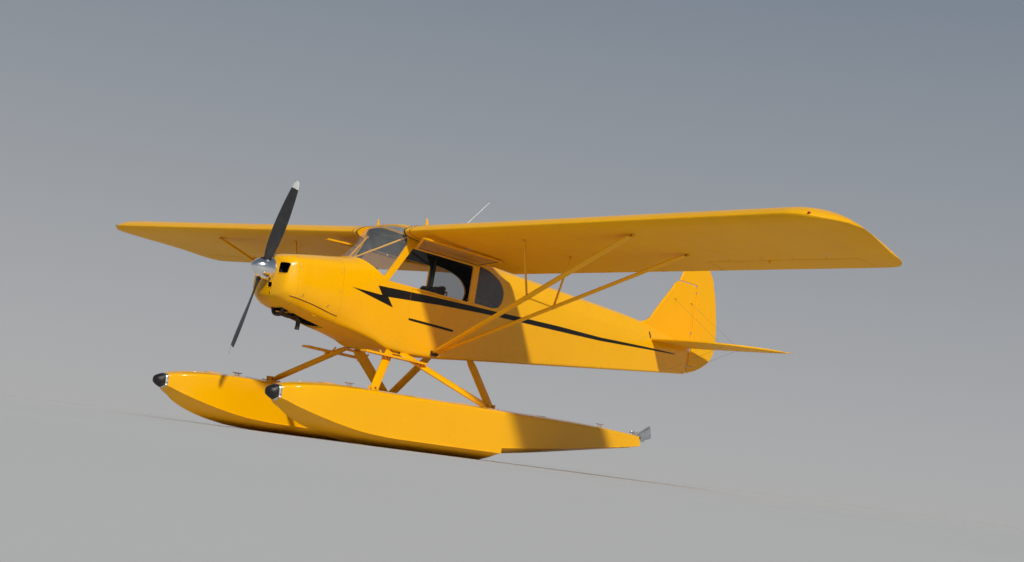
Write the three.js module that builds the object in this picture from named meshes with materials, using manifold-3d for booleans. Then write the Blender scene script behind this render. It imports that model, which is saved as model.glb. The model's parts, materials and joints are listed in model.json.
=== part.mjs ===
// Two-seat high-wing floatplane: fabric-covered airframe on twin straight floats.
// Units are millimetres, +Z up. +X is the aircraft's left wing, the nose points to -Y.
// The float keels stand on z = 0, x = 0 is the plane of symmetry and y = 0 is the middle
// of the overall length.
//
// Airframe pieces are drawn in the airframe's own frame: y = 0, z = 0 at the wing's
// leading edge at its root, y aft, z up. The group `airframe` turns it nose-up on the floats.
import * as THREE from 'three';
import { mergeVertices } from 'three/addons/utils/BufferGeometryUtils.js';
import Module from 'manifold-3d';

const wasm = await Module();
wasm.setup();

// ---------------------------------------------------------------- driving sizes
const PITCH = 2.2 * Math.PI / 180;     // airframe nose-up on the floats
const AIR_Y = -1880.2;                   // airframe origin in the floor frame
const AIR_Z = 2110;
const FLOAT_Y = -1880.2;                 // floats: their table's y = 0 in the floor frame
const GAP = 0.3;                       // between touching pieces

const WING = { root: 368, semi: 5406, chord: 1600, dihedral: 0.024, incidence: 0.03 };
const AILERON = { x0: 3260, x1: 4920, axisY: 1288, axisZ: 47, nose: 43, clear: 7, side: 7 };
const WALL = 22;                       // fuselage wall
const COWL_WALL = 8;
const GLASS = 5;
const THRUST_Z = -612;
const PROP = { y: -1335, radius: 900, rest: 20 * Math.PI / 180 };
const SPINNER = { radius: 118, length: 213, back: -1270 };
const FLOAT_X = 925;
const FLOAT_DECK = 505;
const STEP_Y = 905;

// ---------------------------------------------------------------- colours and finishes
const FINISH = {
  yellow: { color: 0xffb000, roughness: 0.25, metalness: 0 },
  black: { color: 0x181512, roughness: 0.6, metalness: 0 },
  dark: { color: 0x2b2a28, roughness: 0.7, metalness: 0 },
  alloy: { color: 0xd6d8da, roughness: 0.2, metalness: 1 },
  grey: { color: 0x6c6f72, roughness: 0.5, metalness: 0.6 },
  glass: { color: 0xdfe8ea, roughness: 0.05, metalness: 0, transparent: true, opacity: 0.35 },
  cloth: { color: 0x3b3a3c, roughness: 0.9, metalness: 0 },
};

// ---------------------------------------------------------------- helpers
function meshGeometry(verts, tris) {
  const g = new THREE.BufferGeometry();
  g.setAttribute('position', new THREE.Float32BufferAttribute(verts.flat(), 3));
  g.setIndex(tris.flat());
  return g;
}
function signedVolume(g) {
  const p = g.getAttribute('position'), ix = g.getIndex();
  let v = 0;
  const a = new THREE.Vector3(), b = new THREE.Vector3(), c = new THREE.Vector3();
  for (let i = 0; i < ix.count; i += 3) {
    a.fromBufferAttribute(p, ix.getX(i)); b.fromBufferAttribute(p, ix.getX(i + 1)); c.fromBufferAttribute(p, ix.getX(i + 2));
    v += a.dot(b.cross(c));
  }
  return v / 6;
}
function flip(g) {
  const ix = g.getIndex(), a = Array.from(ix.array);
  for (let i = 0; i < a.length; i += 3) [a[i], a[i + 1]] = [a[i + 1], a[i]];
  g.setIndex(a);
  return g;
}
// closed rings of equal length, one after another; both ends are capped
function loft(rings) {
  const n = rings[0].length, verts = rings.flat(), tris = [];
  for (let r = 0; r + 1 < rings.length; r++) {
    for (let i = 0; i < n; i++) {
      const j = (i + 1) % n, a = r * n + i, b = r * n + j, c = a + n, d = b + n;
      tris.push([a, b, c], [b, d, c]);
    }
  }
  for (const start of [0, (rings.length - 1) * n]) {
    const ring = verts.slice(start, start + n);
    const normal = [0, 0, 0];
    ring.forEach((p, i) => {
      const q = ring[(i + 1) % n];
      for (let k = 0; k < 3; k++) { const a = (k + 1) % 3, b = (k + 2) % 3; normal[k] += p[a] * q[b] - p[b] * q[a]; }
    });
    const drop = normal.map(Math.abs).indexOf(Math.max(...normal.map(Math.abs)));
    const keep = [0, 1, 2].filter((k) => k !== drop);
    const flat = ring.map((p) => new THREE.Vector2(p[keep[0]], p[keep[1]]));
    for (const t of THREE.ShapeUtils.triangulateShape(flat, [])) tris.push(t.map((k) => start + k));
  }
  // cap triangles follow the triangulation's own order: make them agree with the sides
  const edges = new Set();
  const sides = tris.length;
  const sideCount = (rings.length - 1) * n * 2;
  for (let k = 0; k < sideCount; k++) for (let e = 0; e < 3; e++) edges.add(`${tris[k][e]}_${tris[k][(e + 1) % 3]}`);
  const caps = [tris.slice(sideCount, sideCount + n - 2), tris.slice(sideCount + n - 2, sides)];
  for (const cap of caps) {
    const bad = cap.some((t) => [0, 1, 2].some((e) => edges.has(`${t[e]}_${t[(e + 1) % 3]}`)));
    if (bad) cap.forEach((t) => t.reverse());
  }
  const g = meshGeometry(verts, tris);
  return signedVolume(g) < 0 ? flip(g) : g;
}
function solid(geometry) {
  let g = geometry.clone();
  for (const name of Object.keys(g.attributes)) if (name !== 'position') g.deleteAttribute(name);
  g = mergeVertices(g, 1e-3);
  return new wasm.Manifold(new wasm.Mesh({
    numProp: 3,
    vertProperties: Float32Array.from(g.getAttribute('position').array),
    triVerts: Uint32Array.from(g.getIndex().array),
  }));
}
function geometryOf(manifold) {
  const m = manifold.getMesh(), g = new THREE.BufferGeometry(), pos = [];
  for (let i = 0; i < m.vertProperties.length; i += m.numProp) pos.push(m.vertProperties[i], m.vertProperties[i + 1], m.vertProperties[i + 2]);
  g.setAttribute('position', new THREE.Float32BufferAttribute(pos, 3));
  g.setIndex(Array.from(m.triVerts));
  return g;
}
const join = (...list) => geometryOf(list.map((g) => (g.isBufferGeometry ? solid(g) : g)).reduce((a, b) => a.add(b)));
const cut = (body, ...tools) => geometryOf(tools.map((g) => (g.isBufferGeometry ? solid(g) : g)).reduce((a, b) => a.subtract(b), solid(body)));
const common = (a, b) => geometryOf(solid(a).intersect(solid(b)));
function box(x0, x1, y0, y1, z0, z1) {
  const g = new THREE.BoxGeometry(x1 - x0, y1 - y0, z1 - z0);
  g.translate((x0 + x1) / 2, (y0 + y1) / 2, (z0 + z1) / 2);
  return g;
}
function mirror(g) {
  const m = g.clone();
  m.scale(-1, 1, 1);
  return flip(m.index ? m : mergeVertices(m));
}
// a side-view outline (y, z) as a prism across x
function sideView(outline, x0, x1) {
  const s = new THREE.Shape(outline.map(([y, z]) => new THREE.Vector2(y, z)));
  const g = new THREE.ExtrudeGeometry(s, { depth: x1 - x0, bevelEnabled: false, steps: 1 });
  g.applyMatrix4(new THREE.Matrix4().makeBasis(new THREE.Vector3(0, 1, 0), new THREE.Vector3(0, 0, 1), new THREE.Vector3(1, 0, 0)));
  g.translate(x0, 0, 0);
  return g;
}
// a straight strut of streamlined section from p to q; `wide` is the chord, across the airflow `thin`
function strut(p, q, wide, thin, sides = 8) {
  const a = new THREE.Vector3(...p), b = new THREE.Vector3(...q);
  const d = b.clone().sub(a).normalize();
  let c = new THREE.Vector3(0, 1, 0);
  if (Math.abs(d.y) > 0.95) c = new THREE.Vector3(1, 0, 0);
  c.sub(d.clone().multiplyScalar(c.dot(d))).normalize();
  const t = d.clone().cross(c);
  const ring = (o) => Array.from({ length: sides }, (_, i) => {
    const w = (2 * Math.PI * i) / sides;
    const v = o.clone().addScaledVector(c, (Math.cos(w) * wide) / 2).addScaledVector(t, (Math.sin(w) * thin) / 2);
    return [v.x, v.y, v.z];
  });
  return loft([ring(a), ring(b)]);
}

// ---------------------------------------------------------------- fuselage sections
// Half-section points from the belly's middle to the roof's middle:
// belly, corner, side, longeron, cantrail, shoulder, roof; each x, z at station y.
const BODY = [
  // y     belly x,z     corner x,z    side x,z      longeron x,z  cantrail x,z  shoulder x,z  roof x,z
  [-600, [150, -1050], [290, -995], [322, -925], [322, -520], [300, -434], [210, -364], [70, -338]],
  [-400, [185, -1072], [312, -1022], [335, -955], [335, -510], [315, -412], [225, -328], [75, -295]],
  [-136, [260, -1108], [338, -1078], [352, -1035], [352, -500], [346, -420], [285, -200], [95, -40]],
  [60, [320, -1143], [350, -1132], [360, -1100], [360, -470], [359, -30], [330, 100], [110, 135]],
  [300, [325, -1147], [352, -1140], [360, -1112], [360, -470], [360, -30], [352, 165], [120, 188]],
  [690, [325, -1126], [352, -1118], [360, -1090], [360, -470], [360, -35], [352, 150], [120, 168]],
  [1050, [322, -1079], [350, -1071], [358, -1045], [358, -470], [358, -50], [345, 90], [120, 112]],
  [1620, [295, -1006], [318, -998], [324, -975], [322, -470], [300, -180], [210, -15], [70, 12]],
];
const TAIL = [
  [1620.3, [295, -1006], [318, -998], [324, -975], [322, -470], [300, -180], [210, -15], [70, 12]],
  [2050, [268, -952], [288, -944], [294, -922], [293, -455], [262, -200], [170, -30], [50, 4]],
  [2950, [206, -837], [224, -829], [229, -810], [228, -420], [195, -225], [115, -65], [35, -30]],
  [3940, [136, -711], [151, -704], [156, -690], [155, -370], [128, -240], [70, -110], [22, -75]],
  [4290, [108, -666], [121, -659], [126, -648], [125, -345], [100, -255], [50, -150], [18, -112]],
  [5035, [22, -571], [29, -567], [32, -560], [32, -300], [30, -275], [24, -256], [15, -250]],
];
const COWL = [
  [-1262, [60, -838], [115, -822], [158, -775], [165, -650], [145, -566], [100, -520], [40, -508]],
  [-1238, [90, -882], [185, -862], [240, -815], [242, -625], [220, -538], [150, -483], [55, -469]],
  [-1165, [120, -925], [238, -898], [286, -842], [290, -590], [264, -500], [182, -453], [62, -441]],
  [-960, [135, -985], [266, -940], [308, -868], [309, -555], [285, -465], [196, -414], [66, -398]],
  [-606.6, [150, -1049], [290, -994], [322, -924], [322, -520], [300, -434], [210, -365], [70, -339]],
];
function inset(points, d) {           // closed (x, z) outline, moved inwards by d
  const n = points.length, v = points.map(([x, z]) => new THREE.Vector2(x, z));
  const way = Math.sign(THREE.ShapeUtils.area(v));
  return v.map((p, i) => {
    const a = v[(i + n - 1) % n], b = v[(i + 1) % n];
    const e1 = p.clone().sub(a).normalize(), e2 = b.clone().sub(p).normalize();
    const n1 = new THREE.Vector2(-e1.y, e1.x).multiplyScalar(way), n2 = new THREE.Vector2(-e2.y, e2.x).multiplyScalar(way);
    const m = n1.clone().add(n2), k = d / (1 + n1.dot(n2));
    return [p.x + m.x * k, p.y + m.y * k];
  });
}
function bodyLoft(table, d = 0, y0 = null, y1 = null) {
  return loft(table.map(([y, ...half], row) => {
    const outline = [...half, ...half.slice().reverse().map(([x, z]) => [-x, z])];
    const yy = row === 0 && y0 !== null ? y0 : row === table.length - 1 && y1 !== null ? y1 : y;
    return inset(outline, d).map(([x, z]) => [x, yy, z]);
  }));
}

// ---------------------------------------------------------------- cabin
const outer = bodyLoft(BODY);
const inner = bodyLoft(BODY, WALL, -601, 1621);
const shell = geometryOf(solid(outer).subtract(solid(inner)));

const SCREEN = [[-415, -270], [-128, -440], [92, -62], [92, 250], [-700, 250], [-700, -270]];
const SIDE_WINDOW = [[-70, -468], [1034, -468], [1034, -86], [170, -86]];
const QUARTER = [[1116, -462], [1400, -462], [1500, -428], [1550, -348], [1556, -262], [1484, -165], [1340, -100], [1230, -76], [1116, -66]];
const DOOR = { y0: 240, y1: 900, z0: -785, z1: -490, gap: 6 };
const SKYLIGHT = { y0: 150, y1: 900, x: 285 };

const windowPrism = sideView(SIDE_WINDOW, -600, 600);
const quarterPrism = sideView(QUARTER, -600, 600);
const screenPrism = sideView(SCREEN, -600, 600);
const doorPrism = box(-600, 600, DOOR.y0, DOOR.y1, DOOR.z0, DOOR.z1 + 60);
const skyPrism = box(-SKYLIGHT.x, SKYLIGHT.x, SKYLIGHT.y0, SKYLIGHT.y1, 60, 300);
const opened = solid(shell).subtract(solid(windowPrism)).subtract(solid(quarterPrism)).subtract(solid(screenPrism))
  .subtract(solid(box(-600, 600, DOOR.y0, DOOR.y1, DOOR.z0, DOOR.z1))).subtract(solid(skyPrism));
const FLOOR_TOP = -1085;               // the belly tray is everything below
const ROOF_LOW = -58;                  // the roof frame is everything above, aft of the screen
const BOOT_Y = -75;                    // the boot cowl ends at the foot of the door post
const region = (x0, x1, y0, y1, z0, z1) => solid(box(x0, x1, y0, y1, z0, z1));
const bootCowl = geometryOf(opened.intersect(region(-700, 700, -700, BOOT_Y, -1400, 400)));
const belly = geometryOf(opened.intersect(region(-700, 700, BOOT_Y + GAP, 1700, -1400, FLOOR_TOP)));
const roof = geometryOf(opened.intersect(region(-700, 700, BOOT_Y + GAP, 1700, ROOF_LOW, 400)));
const sideL = geometryOf(opened.intersect(region(5, 700, BOOT_Y + GAP, 1700, FLOOR_TOP + GAP, ROOF_LOW - GAP)));

// a pane or panel that lies in an opening of the shell, between depths d0 and d1 below the skin
function inShell(region3, d0, d1) {
  const a = bodyLoft(BODY, d0, -600.5, 1620.5), b = bodyLoft(BODY, d1, -601.5, 1621.5);
  return geometryOf(solid(a).subtract(solid(b)).intersect(solid(region3)));
}
const shrink = (outline, d) => inset(outline, d);
const screenPane = inShell(sideView(shrink(SCREEN, 1.5), -600, 600), 3, 3 + GLASS);
const skylightPane = inShell(box(-SKYLIGHT.x + 1.5, SKYLIGHT.x - 1.5, SKYLIGHT.y0 + 1.5, SKYLIGHT.y1 - 1.5, 60, 300), 3, 3 + GLASS);
const quarterPane = geometryOf(solid(inShell(sideView(shrink(QUARTER, 1.5), -600, 600), 3, 3 + GLASS)).intersect(region(5, 700, 900, 1700, -700, 200)));
const lowerDoor = inShell(box(5, 700, DOOR.y0 + DOOR.gap, DOOR.y1 - DOOR.gap, DOOR.z0 + DOOR.gap, DOOR.z1 - DOOR.gap), 0, WALL);

// upper door: a framed pane that laps over the skin outside, drawn closed, then swung up
// about its hinge until it lies under the wing
const HINGE = { x: 376, z: -78 };      // along y
const OPEN = 97 * Math.PI / 180;
const UPPER = { inside: 362, outside: 376, frame: 38 };
const doorOutline = [[-92, -487], [1052, -487], [1052, -86], [160, -86]];
const frameHole = shrink(doorOutline, UPPER.frame);
const upperFrame = cut(sideView(doorOutline, UPPER.inside, UPPER.outside), sideView(frameHole, 300, 400));
const upperPane = sideView(shrink(doorOutline, UPPER.frame + 0.4), UPPER.inside + 5, UPPER.inside + 9);
function swing(g) {
  const m = g.clone();
  m.translate(-HINGE.x, 0, -HINGE.z);
  m.rotateY(-OPEN);
  m.translate(HINGE.x, 0, HINGE.z);
  return m;
}

// ---------------------------------------------------------------- nose
const SHAFT = { radius: 45, y0: -1289, y1: -1110 };   // ends 7 mm behind the propeller's hub
function rodY(y0, y1, r, sides) {
  const g = new THREE.CylinderGeometry(r, r, y1 - y0, sides);
  g.translate(0, (y0 + y1) / 2, THRUST_Z);
  return g;
}
const cowlOuter = bodyLoft(COWL), cowlInner = bodyLoft(COWL, COWL_WALL, -1252, -600);
const inletL = box(142, 262, -1400, -1120, -650, -528);
const intake = box(24, 92, -1400, -1200, -786, -732);
const outlet = box(-120, 120, -985, -560, -1200, -930);
const cowling = geometryOf(solid(cowlOuter).subtract(solid(cowlInner)).subtract(solid(inletL)).subtract(solid(mirror(inletL)))
  .subtract(solid(intake)).subtract(solid(rodY(-1300, -1240, SHAFT.radius + 12, 24))));
const firewall = box(-296, 296, -606.3, -600.3, -1000, -440);
const engine = join(box(-246, 246, -1112, -700, -862, -512), rodY(SHAFT.y0, SHAFT.y1, SHAFT.radius, 20));
const exhaust = join(
  box(-96, 96, -1106, -1060, -925, -881),
  strut([-73, -1083, -905], [-73, -1083, -1010], 40, 40, 10),
  strut([73, -1083, -905], [73, -1060, -1010], 40, 40, 10),
  strut([-84, -1083, -1010], [84, -1060, -1010], 40, 40, 10),
  strut([66, -1062, -1010], [66, -866, -1010], 44, 44, 10),
  strut([66, -866, -994], [66, -870, -1124], 46, 46, 10));
const exhaustHole = box(-104, 104, -1114, -1020, -1200, -870);
const cowlingCut = cut(cowling, exhaustHole, outlet);

const spinnerProfile = [[0, -1], [SPINNER.radius, -1], [SPINNER.radius, 14], [SPINNER.radius * 0.93, 70], [SPINNER.radius * 0.78, 122],
  [SPINNER.radius * 0.55, 168], [SPINNER.radius * 0.28, 202], [0, SPINNER.length - 8]];
const spinnerSolid = new THREE.LatheGeometry(spinnerProfile.map(([r, y]) => new THREE.Vector2(r, y)), 24);
spinnerSolid.rotateX(Math.PI);                       // its point looks along -y
spinnerSolid.translate(0, SPINNER.back - 0, 0);
// blade stations: radius, chord, thickness, twist (deg), sweep
const BLADE = [[40, 70, 60, 50, 0], [120, 84, 46, 42, 0], [240, 118, 26, 34, 0], [420, 140, 17, 25, 0], [600, 132, 12, 19, 0],
  [760, 108, 9, 15, 0], [860, 76, 7, 13, 0], [899, 36, 5, 12, 0]];
function bladeRings(sign) {
  return BLADE.map(([r, c, t, twist]) => {
    const a = (twist * Math.PI) / 180;
    return [[-0.5, 0], [-0.3, 0.42], [0.05, 0.5], [0.35, 0.3], [0.5, 0], [0.3, -0.22], [-0.05, -0.3], [-0.35, -0.25]].map(([u, w]) => {
      const along = u * c, out = -w * t;             // `out` looks forward, along -y
      const x = along * Math.cos(a) - out * Math.sin(a), y = along * Math.sin(a) + out * Math.cos(a);
      return [x * sign, PROP.y + y, r * sign];
    });
  });
}
const hub = new THREE.CylinderGeometry(62, 62, 78, 20);
hub.translate(0, PROP.y, 0);
const propeller = join(loft(bladeRings(1)), loft(bladeRings(-1)), hub);
const bladeSlot = solid(propeller);
const spinnerHollow = new THREE.LatheGeometry([[0, -20], [70, -20], [70, 120], [0, 120]].map(([r, y]) => new THREE.Vector2(r, y)), 20);
spinnerHollow.rotateX(Math.PI);
spinnerHollow.translate(0, SPINNER.back, 0);
const slotBox = box(-52, 52, PROP.y - 46, PROP.y + 46, -400, 400);
const spinner = cut(spinnerSolid, spinnerHollow, slotBox);
const propMatrix = new THREE.Matrix4().makeTranslation(0, 0, THRUST_Z).multiply(new THREE.Matrix4().makeRotationY(PROP.rest));

// ---------------------------------------------------------------- wings
// airfoil: chord fraction, height fraction; flat-bottomed
const AIRFOIL = [[1, 0.002], [0.85, 0.038], [0.68, 0.074], [0.5, 0.102], [0.33, 0.117], [0.2, 0.113], [0.1, 0.095], [0.04, 0.071],
  [0.01, 0.05], [0, 0.035], [0.01, 0.02], [0.04, 0.01], [0.1, 0.004], [0.2, 0], [0.5, 0], [0.78, 0], [1, -0.002]];
// tip bow: station x, leading edge y, trailing edge y, share of the full thickness
const TIP = [
  [4950, 0, 1600, 1], [5060, 5, 1596, 0.98], [5150, 22, 1566, 0.91], [5215, 48, 1490, 0.82], [5258, 80, 1400, 0.72], [5282, 100, 1240, 0.64],
  [5318, 134, 1060, 0.52], [5360, 190, 866, 0.38], [5390, 270, 720, 0.22], [WING.semi, 375, 600, 0.1],
];
function wingRing([x, y0, y1, thick]) {
  return AIRFOIL.map(([c, h]) => {
    const y = y0 + c * (y1 - y0), mid = 0.045 * WING.chord * Math.sin(Math.PI * Math.min(1, (y / WING.chord) * 0.9 + 0.1));
    const z = h * WING.chord, lift = 14 * (1 - thick) * (y / WING.chord);
    return [x - WING.root, y, mid + lift + (z - mid) * thick];
  });
}
const wingStations = [[WING.root, 0, WING.chord, 1], [1500, 0, WING.chord, 1], [3000, 0, WING.chord, 1], ...TIP];
const wingBlank = loft(wingStations.map(wingRing));
const WING_M = new THREE.Matrix4().makeTranslation(WING.root, 0, 0)
  .multiply(new THREE.Matrix4().makeRotationY(-WING.dihedral)).multiply(new THREE.Matrix4().makeRotationX(-WING.incidence));
const ax0 = AILERON.x0 - WING.root, ax1 = AILERON.x1 - WING.root;
function barX(x0, x1, y, z, r, sides = 20) {
  const g = new THREE.CylinderGeometry(r, r, x1 - x0, sides);
  g.rotateZ(Math.PI / 2);
  g.translate((x0 + x1) / 2, y, z);
  return g;
}
const bay = [box(ax0, ax1, AILERON.axisY, 1800, -200, 300), barX(ax0, ax1, AILERON.axisY, AILERON.axisZ, AILERON.nose + AILERON.clear)];
const vent = join(barX(6, 50, 262, 178, 16, 12), strut([28, 262, 170], [28, 262, 244], 26, 14, 8));
const filler = new THREE.CylinderGeometry(38, 38, 24, 20);
filler.rotateX(Math.PI / 2);
filler.translate(150, 620, 176);
const wingLocal = geometryOf(solid(wingBlank).subtract(solid(bay[0])).subtract(solid(bay[1])).add(solid(vent)).add(solid(filler)));
const aileronBlank = [box(ax0 + AILERON.side, ax1 - AILERON.side, AILERON.axisY, 1800, -200, 300),
  barX(ax0 + AILERON.side, ax1 - AILERON.side, AILERON.axisY, AILERON.axisZ, AILERON.nose)];
const aileronLocal = geometryOf(solid(wingBlank).intersect(solid(aileronBlank[0]).add(solid(aileronBlank[1]))));
const wingL = wingLocal.clone().applyMatrix4(WING_M), aileronL = aileronLocal.clone().applyMatrix4(WING_M);

// lift struts: fuselage fitting to the spars, with jury struts half way
const FIT = [378, 650, -1076];
const SPAR = { front: [3200, 262], rear: [3250, 985], jury: 1800 };
const underWing = (x, y) => (x - WING.root) * WING.dihedral - y * WING.incidence;
const onStrut = (a, b, x) => { const t = (x - a[0]) / (b[0] - a[0]); return [x, a[1] + (b[1] - a[1]) * t, a[2] + (b[2] - a[2]) * t]; };
const frontTop = [SPAR.front[0], SPAR.front[1], underWing(...SPAR.front) + 8], rearTop = [SPAR.rear[0], SPAR.rear[1], underWing(...SPAR.rear) + 8];
const rearFit = [378, 676, -1076];
const jf = onStrut(FIT, frontTop, SPAR.jury), jr = onStrut(rearFit, rearTop, SPAR.jury);
const aboveWing = box(-100, 5200, -100, 1800, -0.6, 500).applyMatrix4(WING_M);
const insideBody = box(-360.8, 360.8, -700, 1700, -1300, 400);
const liftStruts = cut(join(
  strut(FIT, frontTop, 74, 34), strut(rearFit, rearTop, 62, 30),
  box(361.2, 396, 612, 716, -1100, -1052),
  strut(jf, [SPAR.jury, 300, underWing(SPAR.jury, 300) + 8], 26, 16, 6),
  strut(jr, [SPAR.jury, 965, underWing(SPAR.jury, 965) + 8], 26, 16, 6),
  strut(jf, jr, 16, 16, 6)), aboveWing, insideBody);

// ---------------------------------------------------------------- tail
// a thin surface by stations along one axis: station, front y, rear y, half thickness
function surface(rows, axis) {
  return loft(rows.map(([s, y0, y1, h]) => {
    const e = Math.min(10, (y1 - y0) / 3);
    return [[y0, 0.45 * h], [y0, -0.45 * h], [y0 + e, -h], [y1 - e, -Math.max(3, 0.35 * h)], [y1, -2], [y1, 2], [y1 - e, Math.max(3, 0.35 * h)], [y0 + e, h]]
      .map(([y, w]) => (axis === 'x' ? [s, y, w] : [w, y, s]));
  }));
}
function plateX(rows) {                // both edges rounded alike: fin and tailplane
  return loft(rows.map(([s, y0, y1, h]) => {
    const e = Math.min(60, (y1 - y0) / 3);
    return [[y0, 3], [y0, -3], [y0 + e, -h], [y1, -h], [y1, h], [y0 + e, h]].map(([y, w]) => [s, y, w]);
  }));
}
const TAIL_Z = -238;
const ELEV_Y = 5064, STAB_END = 5036;
const STAB_DOWN = 3.15 * Math.PI / 180; // trimmed: the leading edge stands below the hinge line
const stabL = plateX([[44, 4950, STAB_END, 13], [122, 4235, STAB_END, 14], [300, 4240, STAB_END, 14], [480, 4250, STAB_END, 14], [700, 4275, STAB_END, 14], [900, 4320, STAB_END, 14],
  [1110, 4430, STAB_END, 13], [1300, 4630, STAB_END, 12], [1410, 4810, STAB_END, 10], [1475, 4985, STAB_END, 7]]);
// the root follows the fuselage side
stabL.translate(0, -STAB_END, 0).rotateX(STAB_DOWN).translate(0, STAB_END, TAIL_Z);
const ELEV_UP = 8 * Math.PI / 180;     // the stick rests back: trailing edge up
const elevHalf = surface([[66, 5052, 5098, 12], [300, 5052, 5495, 13], [900, 5052, 5500, 13], [1200, 5052, 5445, 12], [1385, 5052, 5310, 10], [1475, 5052, 5150, 8]], 'x');
const elevator = join(elevHalf, mirror(elevHalf), barX(-70, 70, ELEV_Y, 0, 9, 10));
elevator.translate(0, -ELEV_Y, 0).rotateX(ELEV_UP).translate(0, ELEV_Y, TAIL_Z);
const RUDDER_Y = 5088;
const rudderMain = surface([[-548, 5074, 5100, 12], [-420, 5074, 5386, 13], [-325, 5074, 5500, 14], [-164, 5074, 5560, 14], [-40, 5074, 5556, 14],
  [404, 5074, 5455, 13], [647, 5074, 5360, 12], [760, 5060, 5250, 10], [818, 5050, 5180, 6]], 'z');
const horn = surface([[536, 4712, 5110, 12], [738, 4815, 5200, 11], [795, 4930, 5200, 8]], 'z');
const rudder = cut(join(rudderMain, horn), box(-40, 40, 5000, 5106, TAIL_Z - 42, TAIL_Z + 42));
const FIN = [[4100, -98], [4106, -89], [4204, -58], [4285, -4], [4676, 508], [4712, 522], [5044, 522], [5044, -248], [4900, -220], [4290, -116]];
const fin = sideView(FIN, -13, 13);
const tailCone = bodyLoft(TAIL);
const rearFuselage = cut(tailCone, sideView(inset(FIN, -0.6), -14, 14));

// ---------------------------------------------------------------- floats (floor frame, y = 0 below the wing's leading edge)
// y, keel z, chine half-width, chine z, deck half-width, deck z
const HULL = [
  [-1675, 292, 88, 330, 84, 438],
  [-1560, 198, 174, 278, 170, 462],
  [-1350, 112, 248, 214, 242, 485],
  [-1100, 52, 290, 159, 285, 500],
  [-800, 14, 308, 118, 304, FLOAT_DECK],
  [-450, 0, 315, 102, 310, FLOAT_DECK],
  [STEP_Y, 0, 315, 98, 310, FLOAT_DECK],
  [STEP_Y + 4, 62, 313, 152, 310, FLOAT_DECK],
  [1600, 140, 298, 212, 290, FLOAT_DECK],
  [2300, 232, 252, 286, 236, 500],
  [2860, 306, 196, 346, 176, 488],
  [3140, 342, 158, 378, 136, 478],
];
const hullRing = ([y, zk, xc, zc, xd, zd]) => [[-22, zk], [22, zk], [xc, zc], [xd, zd - 22], [xd - Math.min(44, 0.4 * xd), zd], [-(xd - Math.min(44, 0.4 * xd)), zd], [-xd, zd - 22], [-xc, zc]]
  .map(([x, z]) => [x, y, z]);
const hull = loft(HULL.map(hullRing));
const BUMPER = [[-1790, 340, 30, 358, 27, 402], [-1772, 324, 58, 348, 54, 416], [-1735, 304, 78, 336, 74, 430], [-1675 - GAP, 292, 88, 330, 84, 438]];
const bumper = loft(BUMPER.map(hullRing));
// water rudder, raised: post behind the transom and a blade trailing up and aft
const WR = { y: 3186, x: 0 };
const waterRudder = join(
  strut([0, WR.y, 352], [0, WR.y, 520], 26, 26, 12),
  box(-4, 4, WR.y - 6, WR.y + 190, 424, 500),
  box(-60, 60, WR.y - 10, WR.y + 10, 506, 524),
  loft([[[-3, WR.y + 80, 410], [3, WR.y + 80, 410], [3, WR.y + 300, 472], [-3, WR.y + 300, 472]],
    [[-3, WR.y + 60, 500], [3, WR.y + 60, 500], [3, WR.y + 262, 612], [-3, WR.y + 262, 612]]]));
// two lugs on the transom carry its post
const lugHole = new THREE.CylinderGeometry(14.5, 14.5, 200, 16);
lugHole.rotateX(Math.PI / 2);
lugHole.translate(0, WR.y, 380);
const transomLugs = cut(join(box(-26, 26, 3130, WR.y + 26, 358, 372), box(-26, 26, 3130, WR.y + 26, 392, 406)), lugHole);
const floatHull = join(hull, transomLugs);

// float struts, in the floor frame
const toFloor = ([x, y, z]) => [x, y * Math.cos(PITCH) + z * Math.sin(PITCH), -y * Math.sin(PITCH) + z * Math.cos(PITCH) + AIR_Z];
const footF = [820, toFloor([820, -417, -1593])[1], FLOAT_DECK + 20], footR = [820, toFloor([820, 1143, -1566])[1], FLOAT_DECK + 20];
const lugF = toFloor([330, 115, -1138]), lugD = toFloor([330, 225, -1134]), lugR = toFloor([318, 1212, -1042]);
const frameMatrix = new THREE.Matrix4().makeTranslation(0, 0, AIR_Z).multiply(new THREE.Matrix4().makeRotationX(-PITCH));
const bodyKeepOut = bodyLoft(BODY, -2.5, -598, 1622).applyMatrix4(frameMatrix);
const below = box(-2000, 2000, -2500, 4000, -200, FLOAT_DECK + GAP);
// front, diagonal and rear: top, foot, chord, thickness
const LEGS = [[lugF, footF, 88, 38], [lugD, footR, 108, 40], [lugR, footR, 116, 42]];
const legs = (d) => LEGS.map(([top, foot, wide, thin]) => strut(top, foot, wide + d, thin + d));
const floatStruts = cut(join(
  ...legs(0), strut(toFloor([322, 90, -1168]), toFloor([322, 250, -1168]), 44, 34),
  ...[footF, footR].flatMap(([x, y]) => [box(x - 55, x + 55, y - 80, y + 80, FLOAT_DECK - 5, FLOAT_DECK + 12),
    box(x - 22, x + 22, y - 44, y + 44, FLOAT_DECK + 4, FLOAT_DECK + 46)])),
bodyKeepOut, below);
const spreader = (y) => strut([-(FLOAT_X - 310) + 0.8, y, 440], [FLOAT_X - 310 - 0.8, y, 440], 70, 44, 10);

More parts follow.
